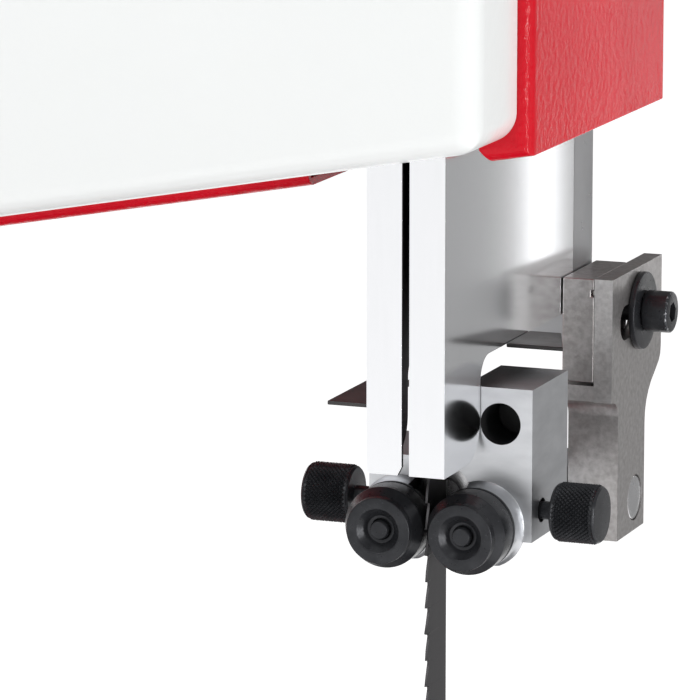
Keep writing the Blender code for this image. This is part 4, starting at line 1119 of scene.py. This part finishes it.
def motor():
    x, z = MOTOR_X, MOTOR_Z
    fin = ((-2.292, 68), (-1.261, 75.6), (1.261, 75.6), (2.292, 68))
    outline = [polar(r, 360 * i / 44 + turn) for i in range(44) for turn, r in fin]
    body = flat("fins", "Y", [outline], 184, 334, at=(x, 0, z))
    finish_mesh(body, ("motor",), 25)
    bell = lathe("bell", "Y", (x, 0, z), [(0, 172), (76, 172), (76, 186), (70, 190), (0, 190)],
            ("motor",), 96, 1.5)
    cover = lathe("cover", "Y", (x, 0, z), [(60, 330), (78, 330), (78, 368), (70, 377.6), (60, 377.6),
            (60, 375), (68, 375), (75, 366), (75, 333), (60, 333)], ("black",), 96, 0.6)
    grille = []
    for r in (14, 26, 38, 50, 61):
        grille.append(lathe("ring", "Y", (x, 0, z), [(r - 1.3, 374.6), (r + 1.3, 374.6),
                (r + 1.3, 377.2), (r - 1.3, 377.2)], ("black",), 64, 0.4))
    shaft_line = Matrix.Translation(mm(x, 0, z))

    def spin(bar, degrees):
        bar.data.transform(shaft_line @ Matrix.Rotation(math.radians(degrees), 4,
                "Y") @ shaft_line.inverted())
    for i in range(4):
        bar = box(x - 62, x + 62, 373.6, 375.6, z - 1.6, z + 1.6)
        spin(bar, 45 * i)
        grille.append(soften(bar, 0.4, ("black",)))
    for i in range(7):
        bar = box(x - 2, x + 2, 345, 352, z + 8, z + 64)
        spin(bar, 360 * i / 7)
        grille.append(soften(bar, 0.6, ("grey",)))
    hub = rod("Y", (x, 0, z), 12, 334, 360, mats="grey")
    inner = rod("Y", (x, 0, z), 67, 186, 336, mats="motor")
    flange = box(x - 80, x + 80, 162.9, 174, z - 80, z + 80)
    soften(flange, 2, ("motor",), 3)
    lid = soften(box(x - 45, x + 45, 220, 300, z + 60, z + 104), 3, ("motor",), 3)
    top = soften(box(x - 46, x + 46, 219, 301, z + 104.4, z + 112), 2, ("motor",), 3)
    gland = lathe("gland", "X", (0, 260, z + 86), [(0, x + 44), (11, x + 44), (11, x + 50), (9, x + 51),
            (9, x + 58), (7, x + 60), (0, x + 60)], ("black",), 32, 0.6)
    bolts = [hex_bolt((x + sx * 66, 0, z + sz * 66), 13, 174, 180) for sx in (-1, 1) for sz in (-1, 1)]
    bolts += [lathe("screw", "Z", (x + sx * 39, 260 + sy * 34, 0),
            [(0, z + 111.8), (4, z + 111.8), (3.4, z + 114), (0, z + 114)],
            ("zinc",), 24, 0.4) for sx in (-1, 1) for sy in (-1, 1)]
    stand(merge("motor_piece", body, inner, bell, cover, hub, flange, lid, top, gland, *grille, *bolts),
            "motor")


# ------------------------------------------------------------------ table and fence
def table_parts():
    ribs = [box(x - 4, x + 4, -191.5, 291.5, 916, 936.5) for x in (-85, 0, 85, 345)]
    ribs += [box(-151.5, 376.5, y - 4, y + 4, 916, 936.5) for y in (-110, 220)]
    obj = cad_copy("table")
    for rib in ribs:
        join(obj, rib)
    cut(obj, box(BX - 1.6, BX + 1.6, -205, 10, 900, 960))
    cut(obj, box(BX + 55, BX + 74, -205, 305, 940.5, 955))
    soften(obj, 1.0, ("iron", "ground"), 3)
    for face in obj.data.polygons:
        c = face.center * 1000
        slot_wall = c.z > TABLE_Z - 10 and BX + 54.9 < c.x < BX + 74.1
        rim = c.z > TABLE_Z - 4 and (c.x < -159 or c.x > 384)
        if c.z > TABLE_Z - 0.8 or slot_wall or rim:
            face.material_index = 1
    stand(obj, "table")
    refined("table_insert", 0.35, ("satin",))
    refined("trunnion", 1.0, ("iron",), 2, angle=50)
    refined("trunnion_support", 1.2, ("iron",), 2, angle=50)
    boss = lathe("boss", "Y", (165, 0, 856), [(0, 124), (6, 124), (6, 144.4), (13, 144.4), (13, 160),
            (0, 160)], ("steel",), 48, 0.8)
    bar = rod("X", (0, 153, 856), 4.5, 90, 156, mats="steel")
    grip = lathe("grip", "X", (0, 153, 856), [(0, 66), (6, 66), (8.5, 74), (8, 98), (6, 102), (0, 102)],
            ("black",), 48, 1.0)
    stand(merge("tilt_lever_piece", boss, bar, grip), "tilt_lock_lever")

    def groove(y, z, dy, dz):
        return box(-160, 390, y - dy, y + dy, z - dz, z + dz)
    rail = cad_copy("fence_rail")
    cut(rail, groove(-234, 920, 1.2, 3), groove(-219, 935, 4, 1.2), groove(-234, 911, 0.8, 0.8),
            groove(-234, 929, 0.8, 0.8))
    stand(soften(rail, 0.4, ("satin", "edge"), 2, edge_slot=1), "fence_rail")
    head = cad_copy("fence_head")
    cut(head, rod("Z", (78, -212, 0), 4, 972, 985), rod("Z", (134, -212, 0), 4, 972, 985))
    soften(head, 1.6, ("iron",), 3)
    screws = [lathe("cap", "Z", (sx, -190, 0), [(0, 977.8), (5, 977.8), (5, 982.6), (0, 982.6)],
            ("oxide",), 32, 0.5)
            for sx in (76, 106, 136)]
    stand(merge("fence_head_piece", head, *screws), "fence_head")
    plate = cad_copy("fence_plate")
    cut(plate, box(115, 119.2, -180, 290, 990, 996), box(115, 118.2, -180, 290, 1008, 1010))
    stand(soften(plate, 0.4, ("satin", "edge"), 2, edge_slot=1), "fence_plate")
    hub = lathe("hub", "X", (0, -256, 925), [(0, 98), (9, 98), (9, 118), (0, 118)], ("steel",), 48, 0.8)
    handle = flat("handle", "X", [fillet([(-263, 925), (-256, 925), (-256, 862), (-255.5, 838),
            (-264.5, 838), (-263, 862)], [0, 0, 2, 3, 3, 2])], 101, 115)
    soften(handle, 2.0, ("black",), 3)
    stand(merge("fence_lever_piece", hub, handle), "fence_lever")


def lower_guide():
    block = cad_copy("lower_guide_block")
    soften(block, 0.8, ("iron",), 2)
    screws = [lathe("cap", "Y", (BX + sx, 0, LOW_HEAD_Z - 12),
            [(0, 41.5), (4, 41.5), (4, 44.2), (0, 44.2)], ("oxide",), 32, 0.5)
            for sx in (-24, 24)]
    stand(merge("lower_block_piece", block, *screws), "lower_guide_block")
    for tag, side in (("left", -1), ("right", 1)):
        profile = [(4.5, 24), (8, 24), (8, 22), (12, 22), (13.6, 24), (13.6, 38.5), (13.2, 39),
                (13.6, 39.4), (13.6, 40.4), (4.5, 40.4)]
        stand(lathe("lr", "Y", (BX + side * 14.5, 0, LOW_HEAD_Z - 22.5), profile, ("oxide", "steel"), 64,
                0.3, lambda r, h: 1 if h > 38.8 else 0), "lower_%s_roller" % tag)


upper_housing()
lower_housing()
column_and_base()
doors()
wheels()
controls()
motor()
table_parts()
lower_guide()

bpy.context.view_layer.update()
